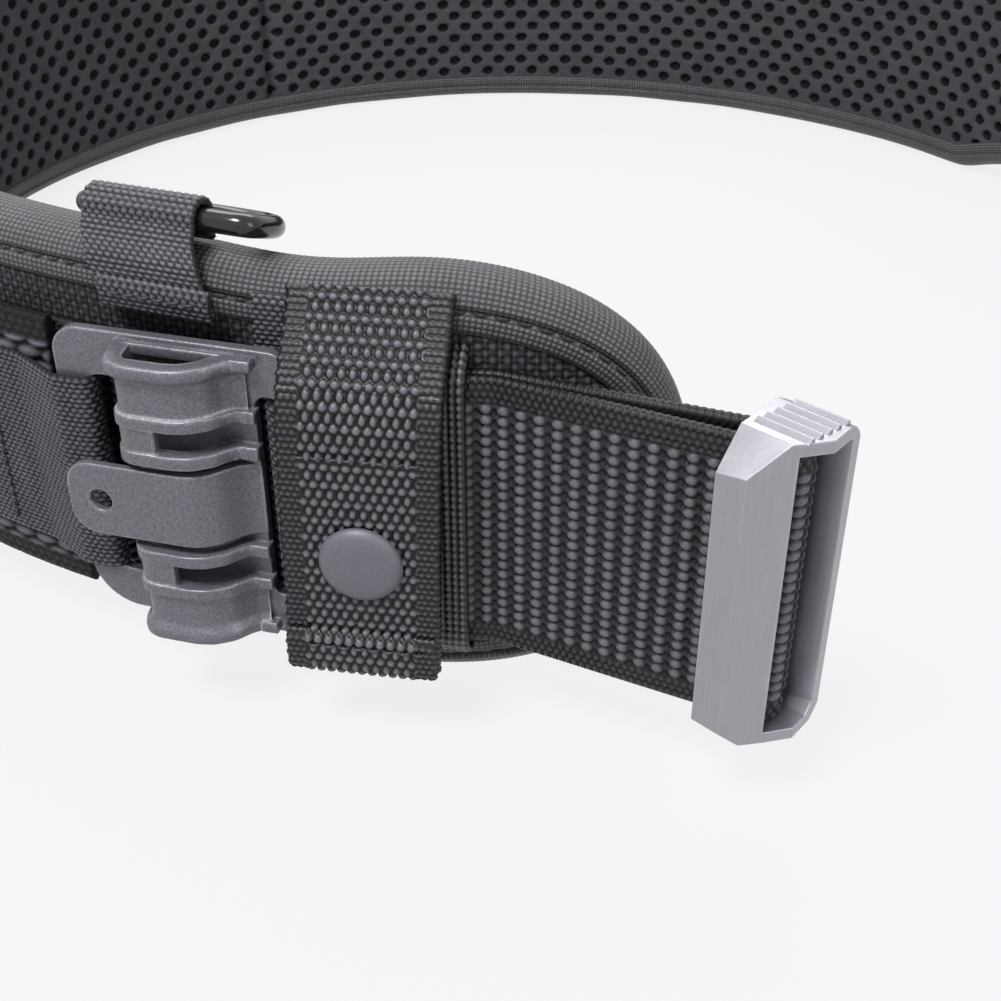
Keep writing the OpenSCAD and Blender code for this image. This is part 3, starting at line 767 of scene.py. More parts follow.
def make_carrier(side):
    path = flat_to_3d(arc(193.3, 128, 207.8, 300), WEB_Z - 1)
    shape = strap_shape(path, UP, WEB_W + 2, 2.2, rope_weave, step=0.55, fine=0.42, coarse=2.0)
    obj = shape.build("carrier_strap_" + side, side, "panel_web", "belt", ["carrier_panel_" + side])
    seams = Shape()
    for turn in (136, 151, 166, 181, 195):
        stitch_row(seams, turn, 195.2, 0, np.linspace(WEB_Z, WEB_Z + WEB_W, 60), 1.6, 2.0, 0.3)
    seams.build("carrier_thread_" + side, side, "thread", "belt", (), "panel_web")
    return obj


def make_hub_tabs(side):
    z, width = SLOT_Z + 0.7, SLOT_H - 1.4
    turn = np.array([[-2.9, -20.3], [-2.9, -16.0], [-1.2, -14.9], [0.6, -15.5], [0.95, -17.5], [0.95, -21.5]])
    rear = np.concatenate([hub_plan(turn[:, 0], turn[:, 1]), arc(195.3, 206.0, 198.4, 20)])
    turn = np.array([[-2.9, 21.2], [-2.9, 18.2], [-1.4, 16.7], [0.3, 16.5], [0.95, 17.7], [0.9, 20.0],
                     [0.55, 21.9]])
    front = np.concatenate([hub_plan(turn[:, 0], turn[:, 1]), arc(194.9, 222.1, 223.0, 3)])
    for which, path in (("rear", smooth(rear, 0.3, 0.5)[::-1]), ("front", smooth(front, 0.3, 0.4))):
        shape = strap_shape(flat_to_3d(path, z), UP, width, 1.4, knit_weave, step=0.3, fine=0.28, coarse=0.9)
        if which == "rear":
            for angle in (200.3, 203.6):
                stitch_row(shape, angle, 196.2, 0, np.linspace(z + 1, z + width - 1, 60), 1.7, 2.2, 0.26)
        shape.build(which + "_tab_" + side, side, "tab_web", "belt", ["hub_" + which + "_tab_" + side])


def make_keeper_backing(side):
    line = np.array([[189.6, 72.4], [191.4, 71.8], [194.2, 69.6], [194.95, 67.5], [194.95, 18.2],
                     [194.2, 16.3], [191.6, 14.2], [189.4, 13.4]])
    path = smooth(stand(KEEPER_ANGLE, line[:, 0], -8.2, line[:, 1]), 0.33, 0.7)
    shape = strap_shape(path, crosswise(KEEPER_ANGLE), 23.5, 1.5, backing_weave,
                        step=0.3, fine=0.27, coarse=0.9)
    return shape.build("keeper_strap_" + side, side, "keeper_web", "belt", ["keeper_backing_" + side])


def make_keeper_flap(side):
    wide = crosswise(KEEPER_ANGLE)
    line = np.array([[189.4, 81.0], [190.7, 78.6], [192.6, 76.1], [196.3, 71.8], [199.2, 67.2], [200.1, 61.0],
                     [200.25, 40.0], [200.25, 15.4]])
    lean = 1.8 * np.clip((76 - line[:, 1]) / 60, 0, 1)
    path = smooth(stand(KEEPER_ANGLE, line[:, 0], -KEEPER_W / 2 - lean, line[:, 1]), 0.33, 1.6)
    shape = strap_shape(path, wide, KEEPER_W, 2.2, keeper_weave, step=0.33, fine=0.25, coarse=0.9)
    # The turned-up end
    hem = np.array([[201.0, 22.6], [202.05, 22.0], [202.2, 19.0], [202.1, 16.4], [201.4, 14.9]])
    path = smooth(stand(KEEPER_ANGLE, hem[:, 0], -KEEPER_W / 2 - 1.8, hem[:, 1]), 0.3, 0.4)
    strap_shape(path, wide, KEEPER_W, 1.3, keeper_weave, step=0.3, fine=0.25, coarse=0.9, shape=shape)
    across = np.linspace(-KEEPER_W / 2 + 0.6, KEEPER_W / 2 - 2.2, 30)
    for level, out in ((20.6, 203.05), (57.0, 201.55)):
        stitch_row(shape, KEEPER_ANGLE, out, across, level, 2.0, 2.6, 0.24)
    obj = shape.build("keeper_flap_piece_" + side, side, "keeper_web", None, ())
    x, y = place(stand(KEEPER_ANGLE, 193.0, 0.0, 0.0), side)[:2]
    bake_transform(obj)
    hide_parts("keeper_flap_" + side, "keeper_anchor_" + side)
    return obj


def make_edge_tab(side):
    angle = 220.2
    line = np.array([[190.2, 79.0], [190.9, 77.5], [191.1, 70.0], [192.3, 68.0], [193.0, 66.0]])
    path = smooth(stand(angle, line[:, 0], -3.4, line[:, 1]), 0.25, 0.5)
    shape = strap_shape(path, crosswise(angle), 8.6, 1.2, ribbed_weave, step=0.25, fine=0.25, coarse=0.8)
    return shape.build("edge_tab_piece_" + side, side, "loop_web", "belt", ["edge_tab_" + side], "tab_web")


def make_ring_loop(which, side):
    angle = RING_ANGLES[which]
    wide = crosswise(angle)
    over = arc(2.95, 245, -8, 24, (BAR_R, BAR_Z))
    line = np.concatenate([[[182.2, 84.0]], over,
                           [[189.2, 85.6], [191.3, 82.0], [192.3, 78.6], [192.3, 75.3]]])
    slide = 5.0 * np.clip((86 - line[:, 1]) / 11, 0, 1) * (line[:, 0] > BAR_R)
    path = smooth(stand(angle, line[:, 0], -10.0 + slide, line[:, 1]), 0.3, 0.5)
    shape = strap_shape(path, wide, 20.0, 1.5, ribbed_weave, step=0.3, fine=0.28, coarse=0.7)
    hem = np.array([[192.9, 79.6], [193.7, 79.0], [193.8, 76.6], [193.2, 74.8]])
    path = smooth(stand(angle, hem[:, 0], -5.0, hem[:, 1]), 0.3, 0.35)
    strap_shape(path, wide, 20.0, 1.2, ribbed_weave, step=0.3, fine=0.28, coarse=0.7, shape=shape)
    stitch_row(shape, angle, 194.65, np.linspace(-4.2, 14.2, 30), 77.6, 2.0, 2.7, 0.24)
    name = which + "_loop_strap_" + side
    return shape.build(name, side, "loop_web", "belt", [which + "_ring_loop_" + side])


# ---------------------------------------------------------------- metal


def make_ring(which, side):
    half = (34.0 - 2 * RING_WIRE) / 2
    bow = arc(half, 90, 270, 40, (-5.0, 0.0))
    line = smooth(np.concatenate([[[0.0, 0.0], [0.0, half]], bow, [[0.0, -half], [0.0, 0.0]]]), 0.6, 1.3)
    droop = math.radians(RING_DROOP)
    path = stand(RING_ANGLES[which], BAR_R + line[:, 0] * math.cos(droop), RING_SHIFT + line[:, 1],
                 BAR_Z + line[:, 0] * math.sin(droop))
    name = which + "_ring_" + side
    wire = ring_tube(path[:-1], RING_WIRE, 20)
    return wire.build(which + "_ring_wire_" + side, side, "ring_wire", name, [name])


def hub_points(local):
    """Hub plate coordinates (along, up, out) put round the loop."""
    local = np.asarray(local, float)
    return np.concatenate([hub_plan(local[..., 2], local[..., 0]), local[..., 1:2]], -1)


CHANNEL = [[0, -8.2], [5.3, -7.3], [6.8, -6.4], [7.5, -4.8], [7.5, 2.2], [6.9, 5.0], [5.0, 7.8], [2.4, 9.6],
           [0.9, 11.2], [0.3, 12.8]]


def channel_path(extra=0.0):
    """Plan path of the channel's outer face, its right end run on by some extra."""
    line = np.array(CHANNEL, float)
    if extra:
        line = np.concatenate([line[:-1], [[1.1, 12.2], [1.0, 12.8 + extra]]])
    return smooth(line, 0.25, 0.45)


def channel_strip(shape, ring, extra=0.0, until=None):
    flat = channel_path(extra)
    if until is not None:
        run = lengths(flat)
        flat = flat[(run >= until[0]) & (run <= until[1])]
    return sweep_shape(hub_plan(flat[:, 0], flat[:, 1]), ring, shape)


def wall_ring(profile, inner):
    """A cross-section from its outer face's (out, up) points, closed by a straight inner face."""
    profile = np.asarray(profile, float)
    back = [[inner, profile[-1, 1] - 0.2], [inner, profile[0, 1] + 0.2]]
    return np.concatenate([profile, back])


def make_hub_plate(side):
    outline = rounded_outline((-HUB_W / 2, HUB_Z), (HUB_W / 2, HUB_Z + HUB_H), (5.0, 5.0, 9.0, 6.0), 10)
    slots = [rounded_outline((-16.5, SLOT_Z), (-8.7, SLOT_Z + SLOT_H), 3.2, 6)[::-1],
             rounded_outline((14.0, SLOT_Z), (18.5, SLOT_Z + SLOT_H), 2.0, 6)[::-1]]
    points, faces = plate_arrays(flat_plate([outline, *slots], 2.0, 0.35))
    shape = Shape().add(hub_points(points), faces)
    middle = LEVER_Z + LEVER_H / 2
    # Each strip of the channel: its outer face (out, up), its inner face, and how its path is cut or run on
    skirt = [(1.0, 17.0), (1.35, 17.35), (1.45, 18.3), (1.2, 19.2), (0.35, 19.8), (0.0, 20.8), (0.0, 25.2),
             (0.2, 26.1), (0.55, 26.5)]
    bar = [(0.55, 26.2), (0.85, 26.5), (0.9, 28.2), (0.6, 28.5)]
    wall = [(0.0, 28.2), (0.45, 28.5), (0.45, 33.0), (0.0, 33.2)]
    top_bar = [(0.55, 32.8), (0.85, 33.1), (0.9, 35.0), (0.6, 35.3)]
    lip = [(0.9, 16.9), (1.25, 17.2), (1.3, 18.6), (0.9, 19.1)]
    strips = ((skirt, -1.4, {}), (bar, -1.9, {"extra": 1.6}), (wall, -1.4, {"until": (0, 13.2)}),
              (top_bar, -1.9, {"extra": 1.6}), (lip, -1.7, {"extra": 1.8}))
    back = resample([[0.9, -8.0], [0.9, 9.5]], 1.0)
    closing = wall_ring([(0.0, 17.0), (0.3, 17.3), (0.3, 18.6), (0, 18.9)], -1.6)
    for flip in (False, True):
        def level(ring):
            return np.stack([ring[:, 0], 2 * middle - ring[:, 1]], -1)[::-1] if flip else ring
        for profile, inner, run in strips:
            channel_strip(shape, level(wall_ring(profile, inner)), **run)
        # The bar that closes the mouth at the back
        sweep_shape(hub_plan(back[:, 0], back[:, 1]), level(closing), shape)
    obj = shape.build("hub_plate_piece_" + side, side, "coated_metal", "belt", ["hub_plate_" + side])
    return dress_metal(obj)


def make_lever(side):
    bend = np.array([[7.6, -18.2], [7.6, 1.6], [7.3, 4.6], [5.6, 7.4], [2.6, 9.7], [0.7, 11.6], [0.1, 13.0],
                     [-0.15, 14.2]])
    path = smooth(bend, 0.25, 0.9)
    run = lengths(path)
    low, high = (0.0, LEVER_Z), (run[-1], LEVER_Z + LEVER_H)
    outline = rounded_outline(low, high, (0.6, 4.6, 4.6, 0.6), 10)
    hole = arc(2.0, 0, 360, 40, (5.9, LEVER_Z + LEVER_H / 2))[:-1][::-1]
    work = flat_plate([outline, hole], 1.5, 0.35)
    for cut in np.arange(15.0, run[-1], 0.5):
        geometry = work.verts[:] + work.edges[:] + work.faces[:]
        bmesh.ops.bisect_plane(work, geom=geometry, plane_co=(cut, 0, 0), plane_no=(1, 0, 0), dist=1e-5)
    points, faces = plate_arrays(work)
    travel = unit(np.gradient(path, axis=0))
    out_of = np.stack([travel[:, 1], -travel[:, 0]], -1)
    at = [np.interp(points[:, 0], run, path[:, k]) for k in (0, 1)]
    off = [np.interp(points[:, 0], run, out_of[:, k]) for k in (0, 1)]
    out = at[0] + off[0] * points[:, 2]
    along = at[1] + off[1] * points[:, 2]
    shape = Shape().add(hub_points(np.stack([along, points[:, 1], out], -1)), faces)
    name = "lever_" + side
    return dress_metal(shape.build(name, side, "coated_metal", name, ["hub_" + name]))


def make_snap(side):
    """The cap and socket on the flap and the stud on the backing, each turned from (radius, height)."""
    rise = [(0, 1.95), (0.33, 1.93), (0.59, 1.82), (0.79, 1.6), (0.9, 1.25), (0.97, 0.7), (1.0, 0.2),
            (0.97, -0.2), (0.9, -0.35), (0, -0.35)]
    cap = [(SNAP_D / 2 * share, height) for share, height in rise]
    socket = [(3.4, 0), (3.4, 1.4), (3.7, 1.7), (5.1, 1.7), (5.5, 1.3), (5.6, 0), (3.4, 0)]
    stud = [(0, 2.2), (1.8, 2.15), (2.6, 1.8), (2.8, 1.4), (2.4, 0.8), (2.5, 0.5), (4.4, 0.45), (5.0, 0.1),
            (5.0, -0.4), (0, -0.4)]
    flap = "flap_" + side
    for part, profile, base, sign, around, body in (
            ("cap", cap, FLAP_FACE + 0.15, 1, 64, flap), ("socket", socket, FLAP_FACE - 2.5, -1, 48, flap),
            ("stud", stud, 195.9, 1, 48, "belt")):
        def outside(p):
            out, along = base + sign * p[..., 2], sign * p[..., 0] - 0.9
            return stand(KEEPER_ANGLE, out, along, SNAP_Z - 0.5 + p[..., 1])
        shape = lathe_shape(profile, outside, around)
        name, node = "snap_%s_piece_%s" % (part, side), "snap_%s_%s" % (part, side)
        shape.build(name, side, "snap_metal", body, [node])


BUCKLE_Z, BUCKLE_H, BUCKLE_TURN = 15.0, 56.0, 9.0
BUCKLE_WALL = 2.2


def frame_block(outline, low, high, cuts):
    """An upright block over a plan outline, cut by planes of (x, z, outward x, outward z)."""
    work = bmesh.new()
    base = work.faces.new([work.verts.new((x, y, low)) for x, y in outline])
    top = bmesh.ops.extrude_face_region(work, geom=[base])["geom"]
    rim = [v for v in top if isinstance(v, bmesh.types.BMVert)]
    bmesh.ops.translate(work, verts=rim, vec=(0, 0, high - low))
    for x, z, out_x, out_z in cuts:
        geometry = work.verts[:] + work.edges[:] + work.faces[:]
        cut = bmesh.ops.bisect_plane(work, geom=geometry, plane_co=(x, 0, z), plane_no=(out_x, 0, out_z),
                                     clear_outer=True, dist=1e-5)
        rim = [e for e in cut["geom_cut"] if isinstance(e, bmesh.types.BMEdge)]
        if rim:
            bmesh.ops.holes_fill(work, edges=rim)
    bmesh.ops.recalc_face_normals(work, faces=work.faces)
    mesh = bpy.data.meshes.new("block")
    work.to_mesh(mesh)
    work.free()
    return new_object("block", mesh)


def round_cuts(x, z, radius, start, steps=5):
    """Planes that round a corner: its arc's centre, radius and the quarter it faces."""
    turns = np.radians(start + (np.arange(steps) + 0.5) * 90 / steps)
    return [(x + radius * math.cos(t), z + radius * math.sin(t), math.cos(t), math.sin(t)) for t in turns]


def make_buckle_frame(edge):
    """The cast frame: one block less its window, with wedge-shaped grip ribs on its top wall."""
    plan = [(-11.2, 5.0), (-10.6, 0.0), (-4.3, -4.5), (0.0, -7.2), (8.0, -6.4), (8.2, -4.5), (5.0, 6.1)]
    window = [(-9.4, 8.0), (-8.6, 0.8), (-4.4, -2.3), (-4.4, -9.0), (6.2, -9.0), (3.2, 8.0)]
    slope = math.sqrt(0.5)
    outer_cuts = [(-11.2, 50.2, -slope, slope), (-11.2, 3.6, -slope, -slope), (8.2, 2.6, slope, -slope),
                  *round_cuts(8.2 - 4.2, BUCKLE_H - 4.2, 4.2, 0)]
    inner_cuts = [(-11.2, 50.2 - 3.2, -slope, slope), (-11.2, 3.6 + 3.0, -slope, -slope),
                  (6.2, BUCKLE_WALL + 2.4, slope, -slope),
                  *round_cuts(6.2 - 1.6, BUCKLE_H - BUCKLE_WALL - 1.6, 1.6, 0, 3)]
    outer = frame_block(plan, 0.0, BUCKLE_H, outer_cuts)
    inner = frame_block(window, BUCKLE_WALL, BUCKLE_H - BUCKLE_WALL, inner_cuts)
    cut = outer.modifiers.new("window", "BOOLEAN")
    cut.operation, cut.solver, cut.object = "DIFFERENCE", "EXACT", inner
    bpy.context.view_layer.update()
    mesh = bpy.data.meshes.new_from_object(outer.evaluated_get(bpy.context.evaluated_depsgraph_get()))
    work = bmesh.new()
    work.from_mesh(mesh)
    for block in (outer, inner):
        spare = block.data
        bpy.data.objects.remove(block)
        bpy.data.meshes.remove(spare)
    bmesh.ops.remove_doubles(work, verts=work.verts, dist=1e-4)
    bmesh.ops.dissolve_limit(work, angle_limit=0.01, verts=work.verts, edges=work.edges)
    # Ribs across the top wall, each a wedge that rises towards the bar
    for k in range(5):
        x = -4.0 + 2.0 * k
        wedge = [(x + run, BUCKLE_H + rise) for run, rise in (
            (0, -0.3), (1.75, -0.3), (1.75, 0.1), (1.5, 0.55), (1.2, 0.55), (0, 0))]
        reach = (-5.2 - 0.15 * k, 4.4 - 0.25 * k) if x < 6 else (-4.6, 2.0)
        rings = [[work.verts.new((px, y, pz)) for px, pz in wedge] for y in reach]
        work.faces.new(rings[0])
        work.faces.new(rings[1][::-1])
        for i in range(len(wedge)):
            j = (i + 1) % len(wedge)
            work.faces.new((rings[0][j], rings[0][i], rings[1][i], rings[1][j]))
    bmesh.ops.recalc_face_normals(work, faces=work.faces)
    turn = math.radians(BUCKLE_TURN)
    for v in work.verts:
        x, y, z = v.co
        spot = np.array([PIN_AT[0] + x * math.cos(turn) - y * math.sin(turn),
                         PIN_AT[1] + x * math.sin(turn) + y * math.cos(turn), BUCKLE_Z + z])
        v.co = place(spot, "left")
    work.to_mesh(mesh)
    work.free()
    return finished(new_object("buckle_frame_piece", mesh), "buckle_frame", "buckle_metal", "buckle", edge)


def finished(obj, node, material, body, bevel):
    dress_metal(obj, material, bevel)
    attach(obj, body)
    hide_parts(node)
    return obj


def dressed(node, material, body, bevel):
    """A CAD node's own shape with rounded edges, as a piece that replaces it."""
    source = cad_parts[node]
    obj = new_object(node + "_piece", source.data.copy())
    obj.matrix_world = source.matrix_world.copy()
    work = bmesh.new()
    work.from_mesh(obj.data)
    bmesh.ops.remove_doubles(work, verts=work.verts, dist=1e-6)
    bmesh.ops.dissolve_limit(work, angle_limit=0.01, verts=work.verts, edges=work.edges)
    work.to_mesh(obj.data)
    work.free()
    return finished(obj, node, material, body, bevel)


# ---------------------------------------------------------------- settings


def colour_setting(name, description, default):
    return bpy.props.FloatVectorProperty(name=name, description=description, default=default, subtype="COLOR",
                                         min=0.0, max=1.0, size=3)


def number_setting(name, description, default, low, high, unit):
    return bpy.props.FloatProperty(name=name, description=description, default=default, min=low, max=high,
                                   unit=unit)


class BeltFabricSettings(bpy.types.PropertyGroup):
    shell: colour_setting("Shell", "Colour of the pad's outer basket cloth", (0.080, 0.082, 0.094))
    tape: colour_setting("Edge tape", "Colour of the ribbed tape that binds the pad", (0.150, 0.152, 0.166))
    mesh: colour_setting("Mesh", "Colour of the spacer mesh that lines the pad", (0.058, 0.059, 0.068))
    web: colour_setting("Webbing", "Colour of the load web and its panels", (0.125, 0.128, 0.148))
    keeper: colour_setting("Keeper", "Colour of the keeper flaps", (0.135, 0.138, 0.158))
    rib_pitch: number_setting("Rib pitch", "Distance between the edge tape's ribs",
                              0.00104, 0.0008, 0.003, "LENGTH")
    hole_depth: number_setting("Hole depth", "Depth of the holes in the spacer mesh",
                               0.0015, 0.0005, 0.002, "LENGTH")


class BeltMetalSettings(bpy.types.PropertyGroup):
    hub: colour_setting("Clip hub", "Colour of the hub's powder coat", (0.132, 0.136, 0.156))
    # Edge colour: bare rubbed metal and a painted highlight along the edges.
    worn_and_highlit: colour_setting("Worn edge", "Colour of bare metal along worn edges", (0.55, 0.55, 0.58))
    buckle: colour_setting("Buckle", "Colour of the buckle's gunmetal", (0.34, 0.34, 0.375))
    snap: colour_setting("Snap", "Colour of the snap cap's matt coat", (0.135, 0.138, 0.160))
    ring: colour_setting("Ring", "Colour of the suspender rings", (0.012, 0.012, 0.014))
    edge: number_setting("Buckle edge", "Radius of the buckle's edges", 0.0005, 0.0001, 0.001, "LENGTH")


class BeltStageSettings(bpy.types.PropertyGroup):
    floor: colour_setting("Floor", "Colour of the floor", (0.5, 0.5, 0.503))
    sky: number_setting("Sky", "Strength of the even light all round", 0.2, 0.0, 2.0, "NONE")
    key: number_setting("Key lamp", "Power of the soft lamp above", 18.0, 0.0, 100.0, "POWER")


# ---------------------------------------------------------------- operators


def on_both_sides(make, *rest):
    for side in ("left", "right"):
        make(side, *rest)
    return {"FINISHED"}


class BELT_OT_finishes(bpy.types.Operator):
    """Make the belt's fabrics and metals"""

    bl_idname = "belt.finishes"
    bl_label = "Fabrics and metals"

    def execute(self, context):
        fabric, coat = context.scene.belt_fabric, context.scene.belt_metal
        # The second colour given to each cloth is the painted shade of the gaps between its beads.
        dark = (0.006, 0.006, 0.007)
        cloth("shell_fabric", fabric.shell, dark, roughness=0.6, sheen=0.04)
        cloth("binding", fabric.tape, (0.015, 0.015, 0.017), roughness=0.4, sheen=0.06, thread=(5.0, 1.2),
              strength=0.8, grid=(fabric.rib_pitch / MM, 0.9), specular=0.35)
        cloth("mesh", fabric.mesh, (0.002, 0.002, 0.0025), roughness=0.75, sheen=0.03, strength=0.2)
        cloth("load_web", fabric.web, (0.002, 0.002, 0.003), roughness=0.4, sheen=0.0, specular=0.3)
        cloth("panel_web", fabric.web, (0.005, 0.005, 0.006), roughness=0.6, sheen=0.04)
        cloth("tab_web", fabric.web, (0.008, 0.008, 0.009), roughness=0.55, sheen=0.03)
        cloth("keeper_web", fabric.keeper, (0.002, 0.002, 0.003), roughness=0.33, sheen=0.0, specular=0.4)
        cloth("loop_web", fabric.web, (0.005, 0.005, 0.006), roughness=0.42, sheen=0.02, specular=0.3)
        cloth("thread", (0.02, 0.02, 0.022), (0.015, 0.015, 0.016), roughness=0.6)
        metal("coated_metal", coat.hub, coat.worn_and_highlit, roughness=0.36, metallic=0.35, grain=0.5, speckle=0.22,
              wear_and_highlight=0.75)
        metal("buckle_metal", coat.buckle, coat.worn_and_highlit, roughness=0.34, metallic=0.85, grain=0.12, speckle=0.03,
              wear_and_highlight=0.5, brushed=True)
        metal("snap_metal", coat.snap, coat.snap, roughness=0.5, metallic=0.2, grain=0.2, speckle=0.06,
              wear_and_highlight=0.0)
        metal("ring_wire", coat.ring, (0.05, 0.05, 0.055), roughness=0.16, metallic=0.0, grain=0.02,
              speckle=0.0, wear_and_highlight=0.3)
        metal("pin_metal", coat.hub, coat.worn_and_highlit, roughness=0.3, metallic=0.8, grain=0.1, speckle=0.03,
              brushed=True)
        return {"FINISHED"}


class BELT_OT_binding(bpy.types.Operator):
    """Wrap the ribbed tape round both halves of the pad"""

    bl_idname = "belt.binding"
    bl_label = "Edge binding"

    def execute(self, context):
        return on_both_sides(make_binding, context.scene.belt_fabric.rib_pitch / MM)


class BELT_OT_shell(bpy.types.Operator):
    """Cover the pad's outside with basket cloth"""

    bl_idname = "belt.shell"
    bl_label = "Pad shell"

    def execute(self, context):
        return on_both_sides(make_shell)


class BELT_OT_lining(bpy.types.Operator):
    """Line the pad's inside with spacer mesh"""

    bl_idname = "belt.lining"
    bl_label = "Mesh lining"

    def execute(self, context):
        return on_both_sides(make_lining, context.scene.belt_fabric.hole_depth / MM)


class BELT_OT_load_web(bpy.types.Operator):
    """Lay the load web round the pad"""

    bl_idname = "belt.load_web"
    bl_label = "Load web"

    def execute(self, context):
        make_load_web()
        return {"FINISHED"}


class BELT_OT_web_ends(bpy.types.Operator):
    """Fold the load web's free ends round the buckle pins"""

    bl_idname = "belt.web_ends"
    bl_label = "Web ends"

    def execute(self, context):
        return on_both_sides(make_web_end)


class BELT_OT_carriers(bpy.types.Operator):
    """Sew the pouch webbing over the load web"""

    bl_idname = "belt.carriers"
    bl_label = "Carrier panels"

    def execute(self, context):
        return on_both_sides(make_carrier)


class BELT_OT_hub_tabs(bpy.types.Operator):
    """Loop the webbing tabs through the hubs' slots"""

    bl_idname = "belt.hub_tabs"
    bl_label = "Hub tabs"

    def execute(self, context):
        return on_both_sides(make_hub_tabs)


class BELT_OT_hub_plates(bpy.types.Operator):
    """Form the clip hubs' plates and channels"""

    bl_idname = "belt.hub_plates"
    bl_label = "Hub plates"

    def execute(self, context):
        return on_both_sides(make_hub_plate)


class BELT_OT_levers(bpy.types.Operator):
    """Bend the release levers of the clip hubs"""

    bl_idname = "belt.levers"
    bl_label = "Release levers"

    def execute(self, context):
        return on_both_sides(make_lever)


class BELT_OT_keepers(bpy.types.Operator):
    """Make the keepers' backing straps, flaps and small edge tabs"""

    bl_idname = "belt.keepers"
    bl_label = "Keepers"

    def execute(self, context):
        on_both_sides(make_keeper_backing)
        on_both_sides(make_keeper_flap)
        return on_both_sides(make_edge_tab)


class BELT_OT_snaps(bpy.types.Operator):
    """Set the snap caps, sockets and studs"""

    bl_idname = "belt.snaps"
    bl_label = "Snaps"

    def execute(self, context):
        return on_both_sides(make_snap)


class BELT_OT_ring_loops(bpy.types.Operator):
    """Roll the webbing loops over the pad's top edge"""

    bl_idname = "belt.ring_loops"
    bl_label = "Ring loops"

    def execute(self, context):
        for which in RING_ANGLES:
            for side in ("left", "right"):
                make_ring_loop(which, side)
        return {"FINISHED"}


class BELT_OT_rings(bpy.types.Operator):
    """Bend the suspender rings from round wire"""

    bl_idname = "belt.rings"
    bl_label = "Suspender rings"

    def execute(self, context):
        for which in RING_ANGLES:
            for side in ("left", "right"):
                make_ring(which, side)
        return {"FINISHED"}


class BELT_OT_buckle(bpy.types.Operator):
    """Finish the buckle's frame, hook plate and pins"""

    bl_idname = "belt.buckle"
    bl_label = "Buckle"

    def execute(self, context):
        edge = context.scene.belt_metal.edge / MM
        make_buckle_frame(edge)
        dressed("hook_plate", "buckle_metal", "hook", edge)
        dressed("buckle_pin", "pin_metal", "buckle", 0.0)
        dressed("hook_pin", "pin_metal", "hook", 0.0)
        return {"FINISHED"}


class BELT_OT_stage(bpy.types.Operator):
    """Set up the pale floor, the soft light and the camera"""

    bl_idname = "belt.stage"
    bl_label = "Stage"

    def execute(self, context):
        settings = context.scene.belt_stage
        make_floor(settings.floor)
        make_sky(settings.sky)
        make_lamps(settings.key)
        make_camera()
        context.scene.view_settings.view_transform = "Standard"
        return {"FINISHED"}


PAPER_SHARE, FLOOR_HALF = 0.86, 4.0
CAMERA_AT, CAMERA_DIP = (-234.4, -305.6, 170.7), 33.0


def sight(tree):
    """1 for rays from the camera, and for those that leave a shiny or clear surface."""
    rays = add_node(tree, "ShaderNodeLightPath").outputs
    most = maths(tree, "MAXIMUM", rays["Is Glossy Ray"], rays["Is Transmission Ray"])
    return maths(tree, "MAXIMUM", rays["Is Camera Ray"], most)


def make_floor(colour):
    mesh = bpy.data.meshes.new("floor")
    corners = [(x * FLOOR_HALF, y * FLOOR_HALF, 0) for x, y in ((-1, -1), (1, -1), (1, 1), (-1, 1))]
    mesh.from_pydata(corners, [], [(0, 1, 2, 3)])
    floor = new_object("floor", mesh)
    tree, out = new_material("floor")
    mottle = noise(tree, add_node(tree, "ShaderNodeTexCoord").outputs["Object"], 4.0, 2.0)
    tone = mixed(tree, mottle, colour, tuple(0.985 * c for c in colour))
    shader = add_node(tree, "ShaderNodeBsdfPrincipled", inputs={
        "Base Color": tone, "Roughness": 0.6, "Specular IOR Level": 0.2})
    # The camera sees part of the floor as plain paper white, so that its shadows stay pale
    paper = add_node(tree, "ShaderNodeEmission", inputs={"Color": (0.965, 0.965, 0.97, 1.0), "Strength": 1.0})
    share = maths(tree, "MULTIPLY", sight(tree), PAPER_SHARE)
    mix = add_node(tree, "ShaderNodeMixShader", inputs={0: share, 1: shader.outputs[0], 2: paper.outputs[0]})
    tree.links.new(mix.outputs[0], out.inputs[0])
    mesh.materials.append(MATERIALS["floor"])


def make_sky(strength):
    """Light all round, brighter overhead, and plain white where the camera sees it."""
    world = bpy.data.worlds.new("sky")
    bpy.context.scene.world = world
    world.use_nodes = True
    tree = world.node_tree
    tree.nodes.clear()
    way = add_node(tree, "ShaderNodeTexCoord").outputs["Generated"]
    up = add_node(tree, "ShaderNodeSeparateXYZ", inputs={"Vector": way}).outputs["Z"]
    level = ranged(tree, up, -0.1, 0.9, 0.55 * strength, 1.35 * strength)
    light = add_node(tree, "ShaderNodeBackground", inputs={"Color": (1.0, 1.0, 1.0, 1.0), "Strength": level})
    seen = add_node(tree, "ShaderNodeBackground", inputs={"Color": (0.93, 0.93, 0.935, 1.0), "Strength": 1.0})
    mix = add_node(tree, "ShaderNodeMixShader",
                   inputs={0: sight(tree), 1: light.outputs[0], 2: seen.outputs[0]})
    out = add_node(tree, "ShaderNodeOutputWorld")
    tree.links.new(mix.outputs[0], out.inputs[0])


def add_lamp(name, at, aim, size, power):
    lamp = bpy.data.lights.new(name, "AREA")
    lamp.shape, lamp.size, lamp.size_y, lamp.energy = "RECTANGLE", size[0], size[1], power
    obj = new_object(name, lamp)
    obj.location = at
    obj.rotation_euler = (Vector(aim) - Vector(at)).to_track_quat("-Z", "Y").to_euler()


def make_lamps(power):
    add_lamp("key", (-0.75, -0.25, 1.15), (-0.1, -0.1, 0.04), (0.5, 0.35), power)
    add_lamp("rim", (0.35, 0.75, 0.95), (-0.1, -0.12, 0.04), (1.2, 0.5), 0.5 * power)
    add_lamp("fill", (0.2, -1.25, 0.55), (-0.1, -0.12, 0.04), (0.5, 0.7), 0.22 * power)


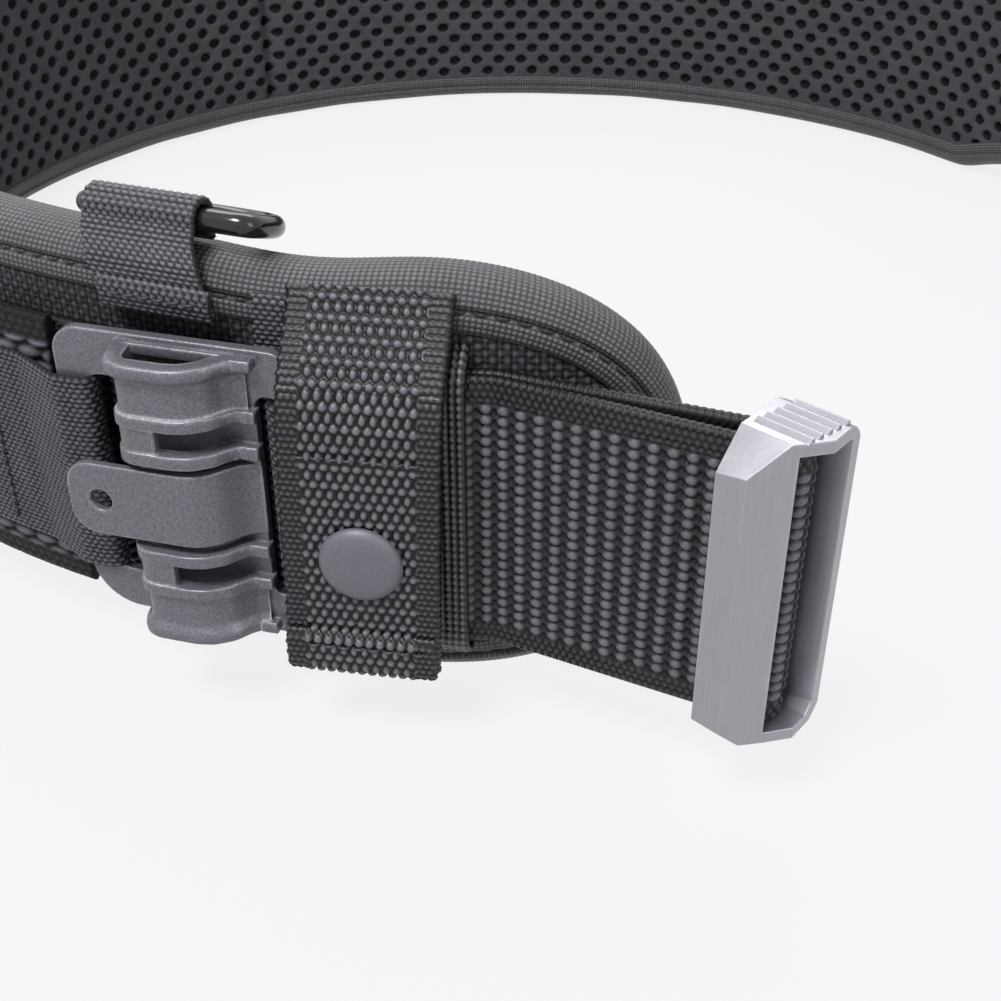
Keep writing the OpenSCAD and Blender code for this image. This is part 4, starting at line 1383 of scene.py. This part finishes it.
def make_camera():
    """Looks at the belt's left front from outside, slightly above."""
    lens = bpy.data.cameras.new("camera")
    lens.lens, lens.sensor_width, lens.clip_start = 50.28, 36.0, 0.01
    camera = new_object("camera", lens)
    x, y, z = CAMERA_AT
    camera.location = (x * MM, (y + LOOP_Y) * MM, z * MM)
    dip = math.radians(CAMERA_DIP)
    way = Vector((0.588 * math.cos(dip), 0.809 * math.cos(dip), -math.sin(dip)))
    camera.rotation_euler = way.to_track_quat("-Z", "Y").to_euler()
    bpy.context.scene.camera = camera


PIECES = (BELT_OT_finishes, BELT_OT_binding, BELT_OT_shell, BELT_OT_lining, BELT_OT_load_web,
          BELT_OT_web_ends, BELT_OT_carriers, BELT_OT_hub_tabs, BELT_OT_hub_plates, BELT_OT_levers,
          BELT_OT_keepers, BELT_OT_snaps, BELT_OT_ring_loops, BELT_OT_rings, BELT_OT_buckle, BELT_OT_stage)


class BELT_PT_panel(bpy.types.Panel):
    """Lists the belt's settings and the steps that build it"""

    bl_idname = "BELT_PT_panel"
    bl_label = "Tool belt"
    bl_space_type = "VIEW_3D"
    bl_region_type = "UI"
    bl_category = "Belt"

    def draw(self, context):
        layout = self.layout
        for group in (context.scene.belt_fabric, context.scene.belt_metal, context.scene.belt_stage):
            for name in group.__annotations__:
                layout.prop(group, name)
        for operator in PIECES:
            layout.operator(operator.bl_idname)


SETTINGS = {"belt_fabric": BeltFabricSettings, "belt_metal": BeltMetalSettings,
            "belt_stage": BeltStageSettings}


def register():
    for group in (*SETTINGS.values(), *PIECES, BELT_PT_panel):
        bpy.utils.register_class(group)
    for name, group in SETTINGS.items():
        setattr(bpy.types.Scene, name, bpy.props.PointerProperty(type=group))


def unregister():
    for name in SETTINGS:
        delattr(bpy.types.Scene, name)
    for group in reversed((*SETTINGS.values(), *PIECES, BELT_PT_panel)):
        bpy.utils.unregister_class(group)


def main():
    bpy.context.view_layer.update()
    register()
    for operator in PIECES:
        getattr(bpy.ops.belt, operator.bl_idname.split(".")[1])()


if __name__ == "__main__":
    main()
